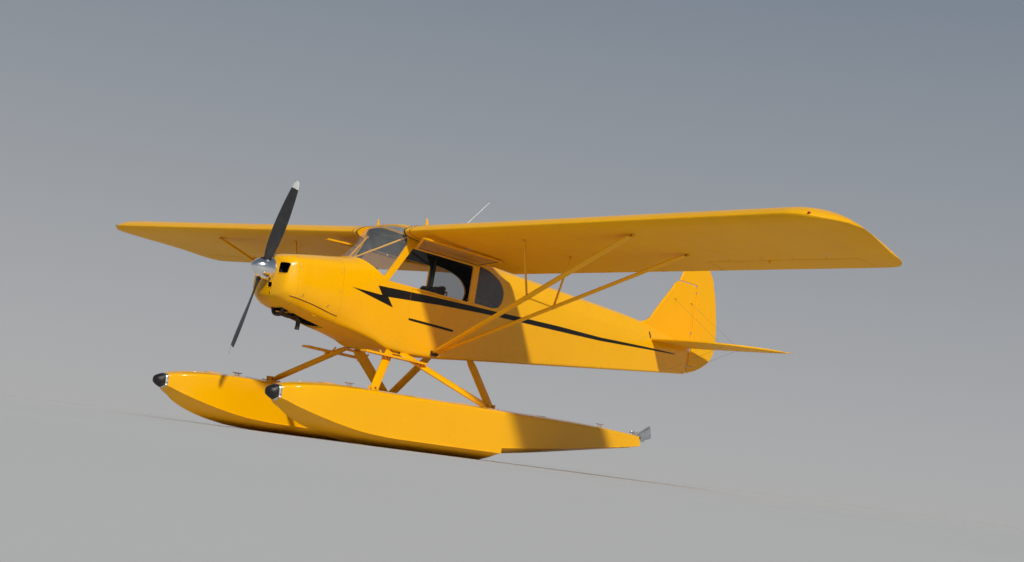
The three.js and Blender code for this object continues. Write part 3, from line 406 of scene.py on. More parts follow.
# ------------------------------------------------------------------ mesh builders
class Build:
    """Collects vertices and faces, each face with a material index."""
    def __init__(self):
        self.v, self.f, self.m = [], [], []

    def add(self, verts, faces, mat=0):
        o = len(self.v)
        self.v.extend([tuple(map(float, p)) for p in verts])
        self.f.extend([tuple(i + o for i in f) for f in faces])
        self.m.extend([mat] * len(faces))
        return self

    def grid(self, P, mat=0, close_u=True, cap0=False, cap1=False):
        """P (rows, around, 3). close_u joins the last column to the first; caps are fans round their centre."""
        R, N = P.shape[:2]
        faces = []
        for r in range(R - 1):
            for i in range(N if close_u else N - 1):
                j = (i + 1) % N
                faces.append((r * N + i, r * N + j, (r + 1) * N + j, (r + 1) * N + i))
        verts = list(P.reshape(-1, 3))
        for cap, row in ((cap0, 0), (cap1, R - 1)):
            if cap:
                c = len(verts)
                verts.append(P[row].mean(0))
                for i in range(N):
                    j = (i + 1) % N
                    a, b = row * N + i, row * N + j
                    faces.append((c, b, a) if row == 0 else (c, a, b))
        return self.add(verts, faces, mat)

    def shell(self, outer, inner, mat_out=0, mat_in=1):
        """Two tube grids of equal size, joined at both ends."""
        R, N = outer.shape[:2]
        o = len(self.v)
        verts = list(outer.reshape(-1, 3)) + list(inner.reshape(-1, 3))
        fo, fi = [], []
        k = R * N
        for r in range(R - 1):
            for i in range(N):
                j = (i + 1) % N
                fo.append((r * N + i, r * N + j, (r + 1) * N + j, (r + 1) * N + i))
                fi.append((k + r * N + i, k + (r + 1) * N + i, k + (r + 1) * N + j, k + r * N + j))
        for i in range(N):
            j = (i + 1) % N
            fo.append((i, k + i, k + j, j))
            b = (R - 1) * N
            fo.append((b + i, b + j, k + b + j, k + b + i))
        self.v.extend([tuple(map(float, p)) for p in verts])
        self.f.extend([tuple(i + o for i in f) for f in fo + fi])
        self.m.extend([mat_out] * len(fo) + [mat_in] * len(fi))
        return self

    def tube(self, path, radius, sides=12, mat=0, closed=False, wide=None, up=None, taper=None):
        """A tube along path. wide: the section's half-width across `up`; radius its half-height along it. taper: scale per point."""
        path = np.asarray(path, float)
        n = len(path)
        T = np.zeros_like(path)
        for i in range(n):
            a = path[i - 1] if (i > 0 or closed) else path[i]
            b = path[(i + 1) % n] if (i < n - 1 or closed) else path[i]
            T[i] = (b - a) / max(1e-9, np.linalg.norm(b - a))
        u = np.array(up if up is not None else ((0, 0, 1) if abs(T[0][2]) < 0.9 else (0, 1, 0)), float)
        rings = []
        for i in range(n):
            if up is not None:
                u = np.array(up, float)
            u = u - T[i] * np.dot(u, T[i])
            u /= max(1e-9, np.linalg.norm(u))
            w = np.cross(T[i], u)
            s = taper[i] if taper is not None else 1.0
            rw = radius if wide is None else wide
            rings.append([path[i] + (u * math.cos(a) * radius + w * math.sin(a) * rw) * s
                          for a in (2 * math.pi * k / sides for k in range(sides))])
        P = np.array(rings)
        if closed:
            # the frame may have turned on its way round: join to the nearest start
            d = [np.linalg.norm(P[0] - np.roll(P[-1], k, axis=0)) for k in range(sides)]
            k = int(np.argmin(d))
            faces = []
            N = sides
            for r in range(n):
                q = (r + 1) % n
                for i in range(N):
                    j = (i + 1) % N
                    if r < n - 1:
                        faces.append((r * N + i, r * N + j, q * N + j, q * N + i))
                    else:
                        faces.append((r * N + (i - k) % N, r * N + (j - k) % N, q * N + j, q * N + i))
            return self.add(P.reshape(-1, 3), faces, mat)
        return self.grid(P, mat, cap0=True, cap1=True)

    def strut(self, p, q, wide, thin, mat=0, sides=28, ends=0.0, aim=(0, 1, 0)):
        """A straight streamlined strut: wide is the chord along aim, its nose towards -aim. ends: length of the flattened ends."""
        p, q = np.array(p, float), np.array(q, float)
        d = (q - p) / np.linalg.norm(q - p)
        c = np.array(aim, float)
        if abs(np.dot(c, d)) > 0.95:
            c = np.array((1.0, 0, 0))
        c = c - d * np.dot(c, d)
        c /= np.linalg.norm(c)
        t = np.cross(d, c)
        L = np.linalg.norm(q - p)
        stations = [(0, 1)] + ([(ends, 1), (L - ends, 1)] if ends else []) + [(L, 1)]
        if ends:
            stations = [(0, 0.45), (ends * 0.35, 0.5), (ends * 0.7, 0.85), (ends, 1.0), (L - ends, 1.0), (L - ends * 0.7, 0.85), (L - ends * 0.35, 0.5), (L, 0.45)]
        rings = []
        for s, k in stations:
            ring = []
            for i in range(sides):
                w = 2 * math.pi * i / sides
                uu = math.cos(w)
                ring.append(p + d * s + c * (uu * wide / 2 * (0.82 + 0.18 * k)) + t * (math.sin(w) * thin / 2 * (1 - 0.32 * uu) / 1.06 * k))
            rings.append(ring)
        return self.grid(np.array(rings), mat, cap0=True, cap1=True)

    def box(self, lo, hi, mat=0, bevel=0.0, m=None):
        """A box with bevelled edges, optionally turned by matrix m."""
        bm = bmesh.new()
        bmesh.ops.create_cube(bm, size=1.0)
        lo, hi = Vector(lo), Vector(hi)
        for v in bm.verts:
            v.co = Vector((lo[k] + (v.co[k] + 0.5) * (hi[k] - lo[k]) for k in range(3)))
        if bevel:
            bmesh.ops.bevel(bm, geom=list(bm.edges), offset=bevel, segments=2, profile=0.6, affect="EDGES")
        if m is not None:
            bm.transform(m)
        bm.verts.ensure_lookup_table()
        bm.faces.ensure_lookup_table()
        bm.verts.index_update()
        self.add([v.co[:] for v in bm.verts], [[v.index for v in f.verts] for f in bm.faces], mat)
        bm.free()
        return self

    def lathe(self, profile, centre, axis, sides=32, mat=0):
        """profile: (radius, distance along axis) pairs, its ends on the axis or not; open ends get caps."""
        a = Vector(axis).normalized()
        b = a.orthogonal().normalized()
        c = a.cross(b)
        P = []
        for r, s in profile:
            r = max(r, 1e-4)
            P.append([np.array(Vector(centre) + a * s + (b * math.cos(w) + c * math.sin(w)) * r)
                      for w in (2 * math.pi * k / sides for k in range(sides))])
        return self.grid(np.array(P), mat, cap0=True, cap1=True)

    def hexbolt(self, p, axis, r=5.0, h=4.0, mat=0, washer=True):
        a = Vector(axis).normalized()
        if washer:
            self.lathe([(0.1, 0), (r * 1.45, 0), (r * 1.45, 1.0), (0.1, 1.0)], p, axis, 16, mat)
        b = a.orthogonal().normalized()
        c = a.cross(b)
        P = []
        for rr, s in ((1.0, 0.8), (1.0, h * 0.85), (0.86, h)):
            P.append([np.array(Vector(p) + a * s + (b * math.cos(w) + c * math.sin(w)) * r * rr)
                      for w in (math.pi / 3 * k for k in range(6))])
        return self.grid(np.array(P), mat, cap0=True, cap1=True)

    def screw(self, p, axis, r=4.0, h=1.6, mat=0):
        return self.lathe([(0.1, -0.5), (r, -0.5), (r, 0.4 * h), (r * 0.75, 0.85 * h), (r * 0.3, h), (0.1, h)], p, axis, 12, mat)

    def prism(self, outline, axis, lo, hi, mat=0):
        """Closed 2-D outline run along an axis: 'x' takes (y, z), 'y' takes (x, z), 'z' takes (x, y)."""
        o = np.asarray(outline, float)
        def at(s):
            z = np.full(len(o), float(s))
            return {"x": np.stack([z, o[:, 0], o[:, 1]], 1), "y": np.stack([o[:, 0], z, o[:, 1]], 1), "z": np.stack([o[:, 0], o[:, 1], z], 1)}[axis]
        n = len(o)
        verts = list(at(lo)) + list(at(hi))
        faces = [(i, (i + 1) % n, n + (i + 1) % n, n + i) for i in range(n)]
        faces += [tuple(range(n))[::-1], tuple(range(n, 2 * n))]
        return self.add(verts, faces, mat)

    def moved(self, m):
        self.v = [tuple(m @ Vector(p)) for p in self.v]
        return self

    def join(self, other, mats=None):
        o = len(self.v)
        self.v.extend(other.v)
        self.f.extend([tuple(i + o for i in f) for f in other.f])
        self.m.extend(other.m if mats is None else [mats[i] for i in other.m])
        return self


def raw(build, name="tmp", weld=0.0, fix=True):
    me = bpy.data.meshes.new(name)
    me.from_pydata(build.v, [], build.f)
    for _ in range(max(build.m, default=0) + 1):
        me.materials.append(None)
    me.polygons.foreach_set("material_index", build.m)
    bm = bmesh.new()
    bm.from_mesh(me)
    if weld:
        bmesh.ops.remove_doubles(bm, verts=bm.verts, dist=weld)
    if fix:
        bmesh.ops.recalc_face_normals(bm, faces=bm.faces)
    bm.to_mesh(me)
    bm.free()
    o = bpy.data.objects.new(name, me)
    bpy.context.scene.collection.objects.link(o)
    return o


def boolean(obj, cutters, op="DIFFERENCE"):
    """Cuts, joins or keeps the common part, one tool after another, and applies it."""
    for c in cutters:
        tool = raw(c, "tool") if isinstance(c, Build) else c
        mod = obj.modifiers.new("b", "BOOLEAN")
        mod.operation = op
        mod.solver = "EXACT"
        mod.object = tool
        dg = bpy.context.evaluated_depsgraph_get()
        me = bpy.data.meshes.new_from_object(obj.evaluated_get(dg))
        obj.modifiers.clear()
        old = obj.data
        obj.data = me
        bpy.data.meshes.remove(old)
        bpy.data.objects.remove(tool, do_unlink=True)
    return obj


def finish_mesh(me, mats, m, mirror, sharp):
    me.transform(FLIP @ m if mirror else m)
    if mirror:
        me.flip_normals()
    idx = np.zeros(len(me.polygons), dtype=np.int32)
    me.polygons.foreach_get("material_index", idx)
    me.materials.clear()
    for k in mats:
        me.materials.append(M[k])
    me.polygons.foreach_set("material_index", np.minimum(idx, len(mats) - 1))
    bm = bmesh.new()
    bm.from_mesh(me)
    lim = math.radians(sharp)
    for f in bm.faces:
        f.smooth = True
    for e in bm.edges:
        e.smooth = not (len(e.link_faces) != 2 or e.calc_face_angle(0) > lim)
    bm.to_mesh(me)
    bm.free()
    me.update()


def place(obj, mats, body, m=AIR, sharp=35, nodes=(), name=None, mirror=False):
    if name:
        obj.name = name
        obj.data.name = name
    finish_mesh(obj.data, mats, m, mirror, sharp)
    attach(obj, body)
    if nodes:
        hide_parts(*nodes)
    return obj


def make(name, build, mats, body="airframe", m=AIR, sharp=35, nodes=(), weld=0.01, fix=True):
    return place(raw(build, name, weld, fix), mats, body, m, sharp, nodes)


def pair(name, build_or_obj, mats, bodies="airframe", m=AIR, sharp=35, nodes=False, weld=0.01, fix=True):
    """Left piece and its mirrored right copy. nodes: the CAD nodes' stem, or True for name."""
    o = build_or_obj if isinstance(build_or_obj, bpy.types.Object) else raw(build_or_obj, name + "_l", weld, fix)
    r = bpy.data.objects.new(name + "_r", o.data.copy())
    bpy.context.scene.collection.objects.link(r)
    stem = name if nodes is True else nodes
    bl, br = (bodies, bodies) if isinstance(bodies, str) else bodies
    place(o, mats, bl, m, sharp, (f"{stem}_left",) if stem else (), name + "_l")
    place(r, mats, br, m, sharp, (f"{stem}_right",) if stem else (), name + "_r", mirror=True)
    return o, r


# ------------------------------------------------------------------ fuselage sections
BODY = [
    (-600, [(150, -1050), (290, -995), (322, -925), (322, -520), (300, -434), (210, -364), (75, -338)]),
    (-400, [(185, -1072), (312, -1022), (335, -955), (335, -510), (315, -412), (225, -328), (75, -295)]),
    (-136, [(260, -1108), (338, -1078), (352, -1035), (352, -500), (346, -420), (285, -200), (95, -40)]),
    (60, [(320, -1143), (350, -1132), (360, -1100), (360, -470), (359, -30), (330, 100), (110, 135)]),
    (300, [(325, -1147), (352, -1140), (360, -1112), (360, -470), (360, -30), (352, 165), (120, 188)]),
    (690, [(325, -1126), (352, -1118), (360, -1090), (360, -470), (360, -35), (352, 150), (120, 168)]),
    (1050, [(322, -1079), (350, -1071), (358, -1045), (358, -470), (358, -50), (345, 90), (120, 112)]),
    (1620, [(295, -1006), (318, -998), (324, -975), (322, -470), (300, -180), (210, -15), (70, 12)]),
    (2050, [(268, -952), (288, -944), (294, -922), (293, -455), (262, -200), (170, -30), (50, 4)]),
    (2950, [(206, -837), (224, -829), (229, -810), (228, -420), (195, -225), (115, -65), (35, -30)]),
    (3940, [(136, -711), (151, -704), (156, -690), (155, -370), (128, -240), (70, -110), (22, -75)]),
    (4290, [(108, -666), (121, -659), (126, -648), (125, -345), (100, -255), (50, -150), (18, -112)]),
    (5035, [(22, -571), (29, -567), (32, -560), (32, -300), (30, -275), (24, -256), (15, -250)]),
]
COWL = [
    (-1262, [(60, -838), (115, -822), (158, -775), (165, -650), (145, -566), (100, -520), (40, -508)]),
    (-1238, [(90, -882), (185, -862), (240, -815), (242, -625), (220, -538), (150, -483), (55, -469)]),
    (-1165, [(120, -925), (238, -898), (286, -842), (290, -590), (264, -500), (182, -453), (62, -441)]),
    (-960, [(135, -985), (266, -940), (308, -868), (309, -555), (285, -465), (196, -414), (66, -398)]),
    (-606.6, [(150, -1049), (290, -994), (322, -924), (322, -520), (300, -434), (210, -365), (75, -339)]),
]
# rounding at each of the seven corners, straight samples on each of the edges that follow it
HALF_R = [34, 24, 26, 60, 40, 70, 60]
LIN = [2, 2, 14, 9, 9, 8, 6, 8, 9, 9, 14, 2, 2, 8]
ARC = (0.0, 0.25, 0.5, 0.75, 1.0)


def full_outline(half):
    h = [tuple(p) for p in half]
    return np.array(h + [(-x, z) for x, z in reversed(h)], float)


def outline(poly, radii, soft):
    """The closed section through a 14-corner polygon: rounded corners, mixed with a smooth curve by `soft`."""
    n = len(poly)
    L = np.array([np.linalg.norm(poly[(k + 1) % n] - poly[k]) for k in range(n)])
    h = [min(radii[k], 0.42 * L[k - 1], 0.42 * L[k]) for k in range(n)]
    pts, where = [], []
    for k in range(n):
        p, a, b = poly[k], poly[k - 1], poly[(k + 1) % n]
        pa, pb = p + (a - p) / L[k - 1] * h[k], p + (b - p) / L[k] * h[k]
        for s in ARC:
            pts.append((1 - s)**2 * pa + 2 * s * (1 - s) * p + s * s * pb)
            where.append((k - 1, 1 - h[k] / L[k - 1] * (1 - 2 * s)) if s < 0.5 else (k, h[k] / L[k] * (2 * s - 1)))
        a0, a1 = h[k] / L[k], h[(k + 1) % n] / L[k]
        q = poly[(k + 1) % n]
        for j in range(1, LIN[k] + 1):
            t = a0 + (1 - a0 - a1) * j / (LIN[k] + 1)
            pts.append(p + (q - p) * t)
            where.append((k, t))
    pts = np.array(pts)
    if soft <= 0:
        return pts
    d = [(poly[(k + 1) % n] - poly[k]) / L[k] for k in range(n)]
    m = [(d[k - 1] * L[k] + d[k] * L[k - 1]) / (L[k - 1] + L[k]) for k in range(n)]
    cur = []
    for k, t in where:
        k %= n
        a, b = poly[k], poly[(k + 1) % n]
        cur.append((2 * t**3 - 3 * t**2 + 1) * a + (t**3 - 2 * t**2 + t) * L[k] * m[k] + (-2 * t**3 + 3 * t**2) * b + (t**3 - t**2) * L[k] * m[(k + 1) % n])
    return pts * (1 - soft) + np.array(cur) * soft


RADII = HALF_R + HALF_R[::-1]
BODY_Y = [r[0] for r in BODY]
BODY_H = np.array([r[1] for r in BODY], float)


def softness(y):
    t = min(1.0, max(0.0, (y + 600) / 620.0))
    return (1 - t * t * (3 - 2 * t)) * 0.85


def body_ring(y, d=0.0):
    """The fuselage section at station y, d inside the skin."""
    half = pchip(BODY_Y, BODY_H, [y])[0]
    poly = full_outline(half)
    if d:
        poly = inset(poly, d)
    r = [max(4.0, v - d) for v in RADII]
    k = min(1.0, max(0.12, (5035 - y) / 1500.0))
    o = outline(poly, [v * k for v in r], softness(y))
    return np.stack([o[:, 0], np.full(len(o), float(y)), o[:, 1]], 1)


def body_grid(ys, d=0.0, y_in=None):
    P = np.array([body_ring(y, d) for y in ys])
    if y_in:
        P[0, :, 1] = y_in[0]
        P[-1, :, 1] = y_in[1]
    return P


def stations(a, b, step, extra=()):
    n = max(1, int(round((b - a) / step)))
    s = sorted(set([round(a + (b - a) * i / n, 3) for i in range(n + 1)] + [e for e in extra if a < e < b]))
    return s


# the whole skin once, to drop details onto it
_SK = Build().grid(body_grid(stations(-600, 5035, 30)), cap0=True, cap1=True)
SKIN = BVHTree.FromPolygons([Vector(p) for p in _SK.v], _SK.f)


def on_side(y, z, s=1, out=0.0, tree=None):
    """The skin's point at (y, z) on the left (s 1) or right side, moved outwards by out."""
    hit = (tree or SKIN).ray_cast(Vector((s * 900, y, z)), Vector((-s, 0, 0)))
    if hit[0] is None:
        return None
    return np.array(hit[0]) + np.array((s * out, 0, 0))


def cowl_controls():
    """Control rows from the shaft hole outwards round the nose bowl and back to the firewall: (rows, 14, 3)."""
    rows = []
    first = full_outline(COWL[0][1])
    ang = np.arctan2(first[:, 1] - THRUST_Z, first[:, 0])
    for r, y in ((60, -1248), (66, -1257)):
        rows.append(np.stack([r * np.cos(ang), np.full(14, float(y)), THRUST_Z + r * np.sin(ang)], 1))
    for y, half in COWL:
        p = full_outline(half)
        rows.append(np.stack([p[:, 0], np.full(14, float(y)), p[:, 1]], 1))
    return np.array(rows)


def cowl_grid(d=0.0):
    C = cowl_controls()
    if d:
        for r in range(len(C)):
            if r < 2:
                C[r][:, 1] += d
            else:
                C[r][:, [0, 2]] = inset(C[r][:, [0, 2]], d if r > 2 else d * 0.7)
                C[r][:, 1] += {2: d, 3: 0.75 * d, 4: 0.35 * d}.get(r, 0)
    lengths = np.array([12.0, 95.0, 75.0, 88.0, 215.0, 356.0])
    R = cardinal(C, [[j / n for j in range(n)] for n in (2, 7, 9, 8, 9, 12)], lengths=lengths)
    P = []
    for row in R:
        o = outline(row[:, [0, 2]], RADII, 0.85)
        P.append(np.stack([o[:, 0], np.full(len(o), row[:, 1].mean()), o[:, 1]], 1))
    return np.array(P)


COWL_P = cowl_grid()
_CB = Build().grid(COWL_P)
COWL_TREE = BVHTree.FromPolygons([Vector(p) for p in _CB.v], _CB.f)


def hit(tree, p, d, out=0.0):
    """Where a ray meets the skin, moved back out along its normal."""
    h = tree.ray_cast(Vector(p), Vector(d).normalized())
    if h[0] is None:
        return None, None
    n = h[1] if h[1].dot(Vector(d)) < 0 else -h[1]
    return np.array(h[0] + n * out), np.array(n)


def rim(build, pts2, axis, start, tree, r, mat=0, sides=8, out=0.0, wide=None):
    """A bead along an outline dropped onto a skin along an axis."""
    path = []
    for a, b in pts2:
        p, d = {"y": ((a, start, b), (0, -np.sign(start), 0)), "x": ((start, a, b), (-np.sign(start), 0, 0)), "z": ((a, b, start), (0, 0, -np.sign(start)))}[axis]
        q, n = hit(tree, p, d, out)
        if q is not None:
            path.append(q)
    if len(path) > 3:
        build.tube(path, r, sides, mat, closed=True, wide=wide)
    return build


# ------------------------------------------------------------------ cowling
NOSE_IN = round_poly([(146, -646), (258, -646), (258, -532), (146, -532)], 26, 6)
AIR_IN = round_poly([(24, -786), (92, -786), (92, -732), (24, -732)], 12, 4)


def circle2(cx, cz, r, n=20):
    return np.array([(cx + r * math.cos(2 * math.pi * k / n), cz + r * math.sin(2 * math.pi * k / n)) for k in range(n)])


cowl = raw(Build().shell(COWL_P, cowl_grid(5.0)), "cowl_skin")
tools = [Build().prism(NOSE_IN, "y", -1500, -1100), Build().prism([(-x, z) for x, z in NOSE_IN][::-1], "y", -1500, -1100),
         Build().prism(AIR_IN, "y", -1500, -1190), Build().prism(circle2(62, -838, 15), "y", -1500, -1180),
         Build().prism(round_poly([(-104, -1114), (104, -1114), (104, -1020), (-104, -1020)], 22), "z", -1300, -870),
         Build().prism(round_poly([(-120, -985), (120, -985), (120, -560), (-120, -560)], [20, 20, 0, 0]), "z", -1300, -900)]
boolean(cowl, tools)
place(cowl, ["metal", "dark"], "airframe", sharp=38, nodes=("cowling",))

b = Build()
for s in (1, -1):
    rim(b, resample(round_poly([(s * 146, -646), (s * 258, -646), (s * 258, -532), (s * 146, -532)], 26, 6), 14), "y", -1500, COWL_TREE, 5.5, 0, 10, -1.0)
rim(b, resample(AIR_IN, 10), "y", -1500, COWL_TREE, 3.6, 0, 8, -0.6)
rim(b, circle2(62, -838, 15), "y", -1500, COWL_TREE, 2.6, 0, 8, -0.4)
make("cowl_inlet_lips", b, ["metal"], sharp=60)

# joint lines: the nose bowl's, the firewall's, and the lapped edge where the side panel meets the bottom one; the dark
# bead under that edge is painted shade where the side turns under
def body_band(build, y, w, proud, deep, mat=0, tree_ring=None):
    ring = tree_ring or (lambda yy, d: body_ring(yy, d))
    a, bb = ring(y - w / 2, -proud), ring(y + w / 2, -proud)
    c, d = ring(y + w / 2, deep), ring(y - w / 2, deep)
    P = np.array([a, bb, c, d])
    R, N = 4, P.shape[1]
    faces = []
    for r in range(4):
        q = (r + 1) % 4
        for i in range(N):
            j = (i + 1) % N
            faces.append((r * N + i, r * N + j, q * N + j, q * N + i))
    build.add(P.reshape(-1, 3), faces, mat)


CY = COWL_P[:, :, 1].mean(1)
_first = int(np.argmax(CY > -1240))


def cowl_ring(y, d=0.0):
    i = int(np.clip(np.searchsorted(CY[_first:], y) + _first, _first + 1, len(CY) - 1))
    t = (y - CY[i - 1]) / (CY[i] - CY[i - 1])
    p = COWL_P[i - 1] * (1 - t) + COWL_P[i] * t
    q = inset(p[:, [0, 2]], d)
    return np.stack([q[:, 0], np.full(len(q), float(y)), q[:, 1]], 1)


b = Build()
body_band(b, -1128, 1.0, 0.2, 1.5, 0, cowl_ring)
body_band(b, -609, 1.2, 0.2, 1.5, 0, cowl_ring)
make("cowl_joint_lines", b, ["seam"], sharp=60)
b = Build()
edge = [(-1180, -839), (-1120, -846), (-1040, -856), (-960, -866), (-860, -883), (-760, -903), (-680, -918), (-612, -929)]
edge = cardinal(np.array(edge, float), even(5, len(edge) - 1))
for s in (1, -1):
    up = [q for q in (hit(COWL_TREE, (s * 600, y, z), (-s, 0, 0), 0.2)[0] for y, z in edge) if q is not None]
    lo = [q for q in (hit(COWL_TREE, (s * 600, y, z - 6.5), (-s, 0, 0), -0.3)[0] for y, z in edge) if q is not None]
    b.tube(up, 4.0, 8, 0)
    # dark bead just below the lapped edge: painted shade of the crease where the side turns under into the bottom panel
    b.tube(lo, 4.4, 8, 3)
    for y, z in ((-1055, -816), (-745, -858)):
        q, n = hit(COWL_TREE, (s * 600, y, z), (-s, 0, 0), 0.0)
        t = Vector((0, 0.55, 0.83))
        b.tube([q + np.array(t) * -16 + n * 1.2, q + np.array(t) * 16 + n * 1.2], 3.2, 8, 1)
        b.screw(q + np.array(t) * -12 + n * 1.5, n, 5.5, 3.5, 2)
    for y in (-1150, -1090, -1010, -900, -820, -690, -640):
        z = float(np.interp(y, [e[0] for e in edge], [e[1] for e in edge])) + 15
        q, n = hit(COWL_TREE, (s * 600, y, z), (-s, 0, 0), 0.0)
        b.screw(q, n, 4.2, 1.5, 2)
# screws round the nose bowl's edge and the firewall's
for y, off in ((-1116, 0), (-622, 0)):
    ring = cowl_ring(y, 0)
    step = 9
    for i in range(0, len(ring), step):
        c = ring.mean(0)
        q, n = hit(COWL_TREE, ring[i] + (ring[i] - c) * 0.6, c - ring[i])
        if q is not None and not (abs(q[0]) < 130 and q[2] < -900):
            b.screw(q, n, 3.8, 1.4, 2)
make("cowl_edges_and_fasteners", b, ["metal", "seam", "satin", "bolt"], sharp=50)

# small side vent with its lip on the lower cowl, both sides
b = Build()
for s in (1,):
    q, n = hit(COWL_TREE, (600, -831, -1034 + 60), (-0.75, 0, 0.0), 0)
    q2, n2 = hit(COWL_TREE, (500, -831, -1150), (-0.6, 0, 0.42), 0)
    q, n = (q2, n2) if q2 is not None else (q, n)
    t = np.array((0, 1.0, 0))
    u = np.cross(n, t)
    u = u / np.linalg.norm(u)
    if u[2] < 0:
        u = -u
    rows = []
    for k in range(13):
        a = -1 + 2 * k / 12
        hgt = 9.0 * (1 - a * a) ** 0.5
        base = q + t * a * 36
        rows.append([base + u * 9 - n * 1, base + u * 8 + n * (0.3 * hgt), base + u * 2 + n * (0.75 * hgt), base - u * 8 + n * hgt, base - u * 8 + n * (hgt - 2) - n * 0.2, base + u * 4 - n * 1])
    b.grid(np.array(rows), 0, cap0=True, cap1=True)
pair("cowl_side_louvre", b, ["metal"], sharp=45)

# ------------------------------------------------------------------ engine inside the cowl
b = Build()
b.box((-82, -1106, -792), (82, -706, -560), 0, 14)
b.lathe([(70, 0), (78, 6), (78, 60), (62, 74), (46, 92), (45, 182)], (0, -1104, THRUST_Z), (0, -1, 0), 40, 1)
for s in (1, -1):
    for y, z in ((-1000, -640), (-812, -640)):
        for k in range(15):
            x = 92 + k * 8.6
            b.lathe([(40, 0), (80, 0.2), (81.5, 1.3), (80, 2.4), (40, 2.6)], (s * x, y, z), (s, 0, 0), 30, 0)
        b.lathe([(56, 0), (56, 130)], (s * 84, y, z), (s, 0, 0), 28, 0)
        b.lathe([(78, 0), (80, 4), (80, 12), (60, 22), (54, 30), (0.1, 31)], (s * 213, y, z), (s, 0, 0), 32, 1)
        for w in range(4):
            a = math.pi / 4 + w * math.pi / 2
            b.hexbolt((s * 226, y + 62 * math.cos(a), z + 62 * math.sin(a)), (s, 0, 0), 6, 6, 2)
        b.tube([(s * 150, y - 30, z - 60), (s * 150, y - 40, z - 110), (s * 110, y - 60, z - 160), (s * 70, y - 100 if y > -900 else -1083, -846)], 17, 12, 3)
        b.tube([(s * 190, y, z + 58), (s * 170, y + 18, z + 84), (s * 90, y + 30, z + 96)], 4.5, 8, 4)
b.box((-150, -1060, -840), (150, -760, -800), 0, 10)
b.box((-66, -780, -770), (66, -702, -520), 1, 8)
make("flat_engine", b, ["cast", "satin", "bolt", "exhaust", "rubber"], nodes=("engine_block",), sharp=40)

b = Build()
b.prism(round_poly([(-296, -1000), (296, -1000), (296, -440), (-296, -440)], 60, 6), "y", -606.3, -600.3)
for z in (-960, -800, -640, -480):
    b.tube([(-240, -609, z), (240, -609, z)], 3.5, 8, 0)
for s in (1, -1):
    for z in (-920, -520):
        b.tube([(s * 270, -601.5, z), (s * 200, -660, z * 0.85 - 110), (s * 120, -704, z * 0.7 - 200)], 9, 10, 1)
make("firewall_sheet", b, ["satin", "frame"], nodes=("firewall",), sharp=40)

# ------------------------------------------------------------------ exhaust
def bend(pts, n=7):
    return cardinal(np.array(pts, float), even(n, len(pts) - 1))


b = Build()
for s in (1, -1):
    b.tube(bend([(s * 73, -1083, -884), (s * 75, -1083, -930), (s * 74, -1081, -975), (s * 58, -1078, -1002), (s * 24, -1073, -1012), (0, -1072, -1012)]), 20, 18, 0)
    b.lathe([(22.5, 0), (24, 2), (24, 9), (22.5, 11)], (s * 74, -1083, -936), (0, 0, -1), 22, 1)
b.tube(bend([(60, -1074, -1006), (68, -1040, -1012), (66, -980, -1012), (66, -905, -1011), (66, -876, -1030), (66, -868, -1064), (66, -870, -1123)]), 22, 18, 0)
b.lathe([(22.5, 0), (25, 2), (25, 10), (22.5, 12)], (67, -1004, -1012), (0, 1, 0), 22, 1)
b.lathe([(20, 0), (23.4, 0), (23.4, 5), (20, 6)], (66, -869.9, -1119), (0, 0, -1), 22, 0)
# black disk on the capped tailpipe's end: painted shade of the open bore
b.lathe([(0.1, 0), (19, 0), (19.5, 1), (0.1, 1.2)], (66, -870, -1123.4), (0, 0, -1), 20, 2)
b.box((-96, -1106, -925), (96, -1060, -884), 0, 9)
b.tube([(66, -930, -1010), (90, -920, -940), (104, -915, -905)], 4, 8, 1)
make("exhaust_pipes", b, ["exhaust", "bolt", "black"], nodes=("exhaust_stacks",), sharp=42)

# ------------------------------------------------------------------ spinner and propeller
REST = Matrix.Translation((0, 0, THRUST_Z)) @ Matrix.Rotation(math.radians(20), 4, "Y")
prof = [(0.1, 0), (118, 0), (119, 3), (119, 8), (117.5, 12)]
dome = cardinal(np.array([(117.5, 12), (113, 45), (103, 88), (88, 125), (66, 158), (38, 187), (12, 202.5), (0.5, 205)], float), even(5, 7))
prof += [tuple(p) for p in dome[1:]]
b = Build().lathe(prof, (0, -1270, 0), (0, -1, 0), 64)
o = raw(b, "spinner_dome", 0.02)
boolean(o, [Build().prism(round_poly([(-30, -1400), (30, -1400), (44, -1335), (40, -1290), (-40, -1290), (-44, -1335)], 18, 5), "z", 40, 400),
            Build().prism(round_poly([(-30, -1400), (30, -1400), (44, -1335), (40, -1290), (-40, -1290), (-44, -1335)], 18, 5), "z", -400, -40)])
place(o, ["alloy"], "propeller_unit", AIR @ REST, 30, ("spinner",))
b = Build()
for k in range(10):
    a = 2 * math.pi * (k + 0.5) / 10
    if abs(math.sin(a)) < 0.95:
        b.screw((119 * math.cos(a), -1276, 119 * math.sin(a)), (math.cos(a), 0, math.sin(a)), 3.4, 1.3, 0)
b.lathe([(106, 0), (120.5, 0), (120.5, 2.5), (106, 2.5)], (0, -1267.5, 0), (0, -1, 0), 64, 1)
make("spinner_backplate_and_screws", b, ["steel", "satin"], "propeller_unit", AIR @ REST, 40)

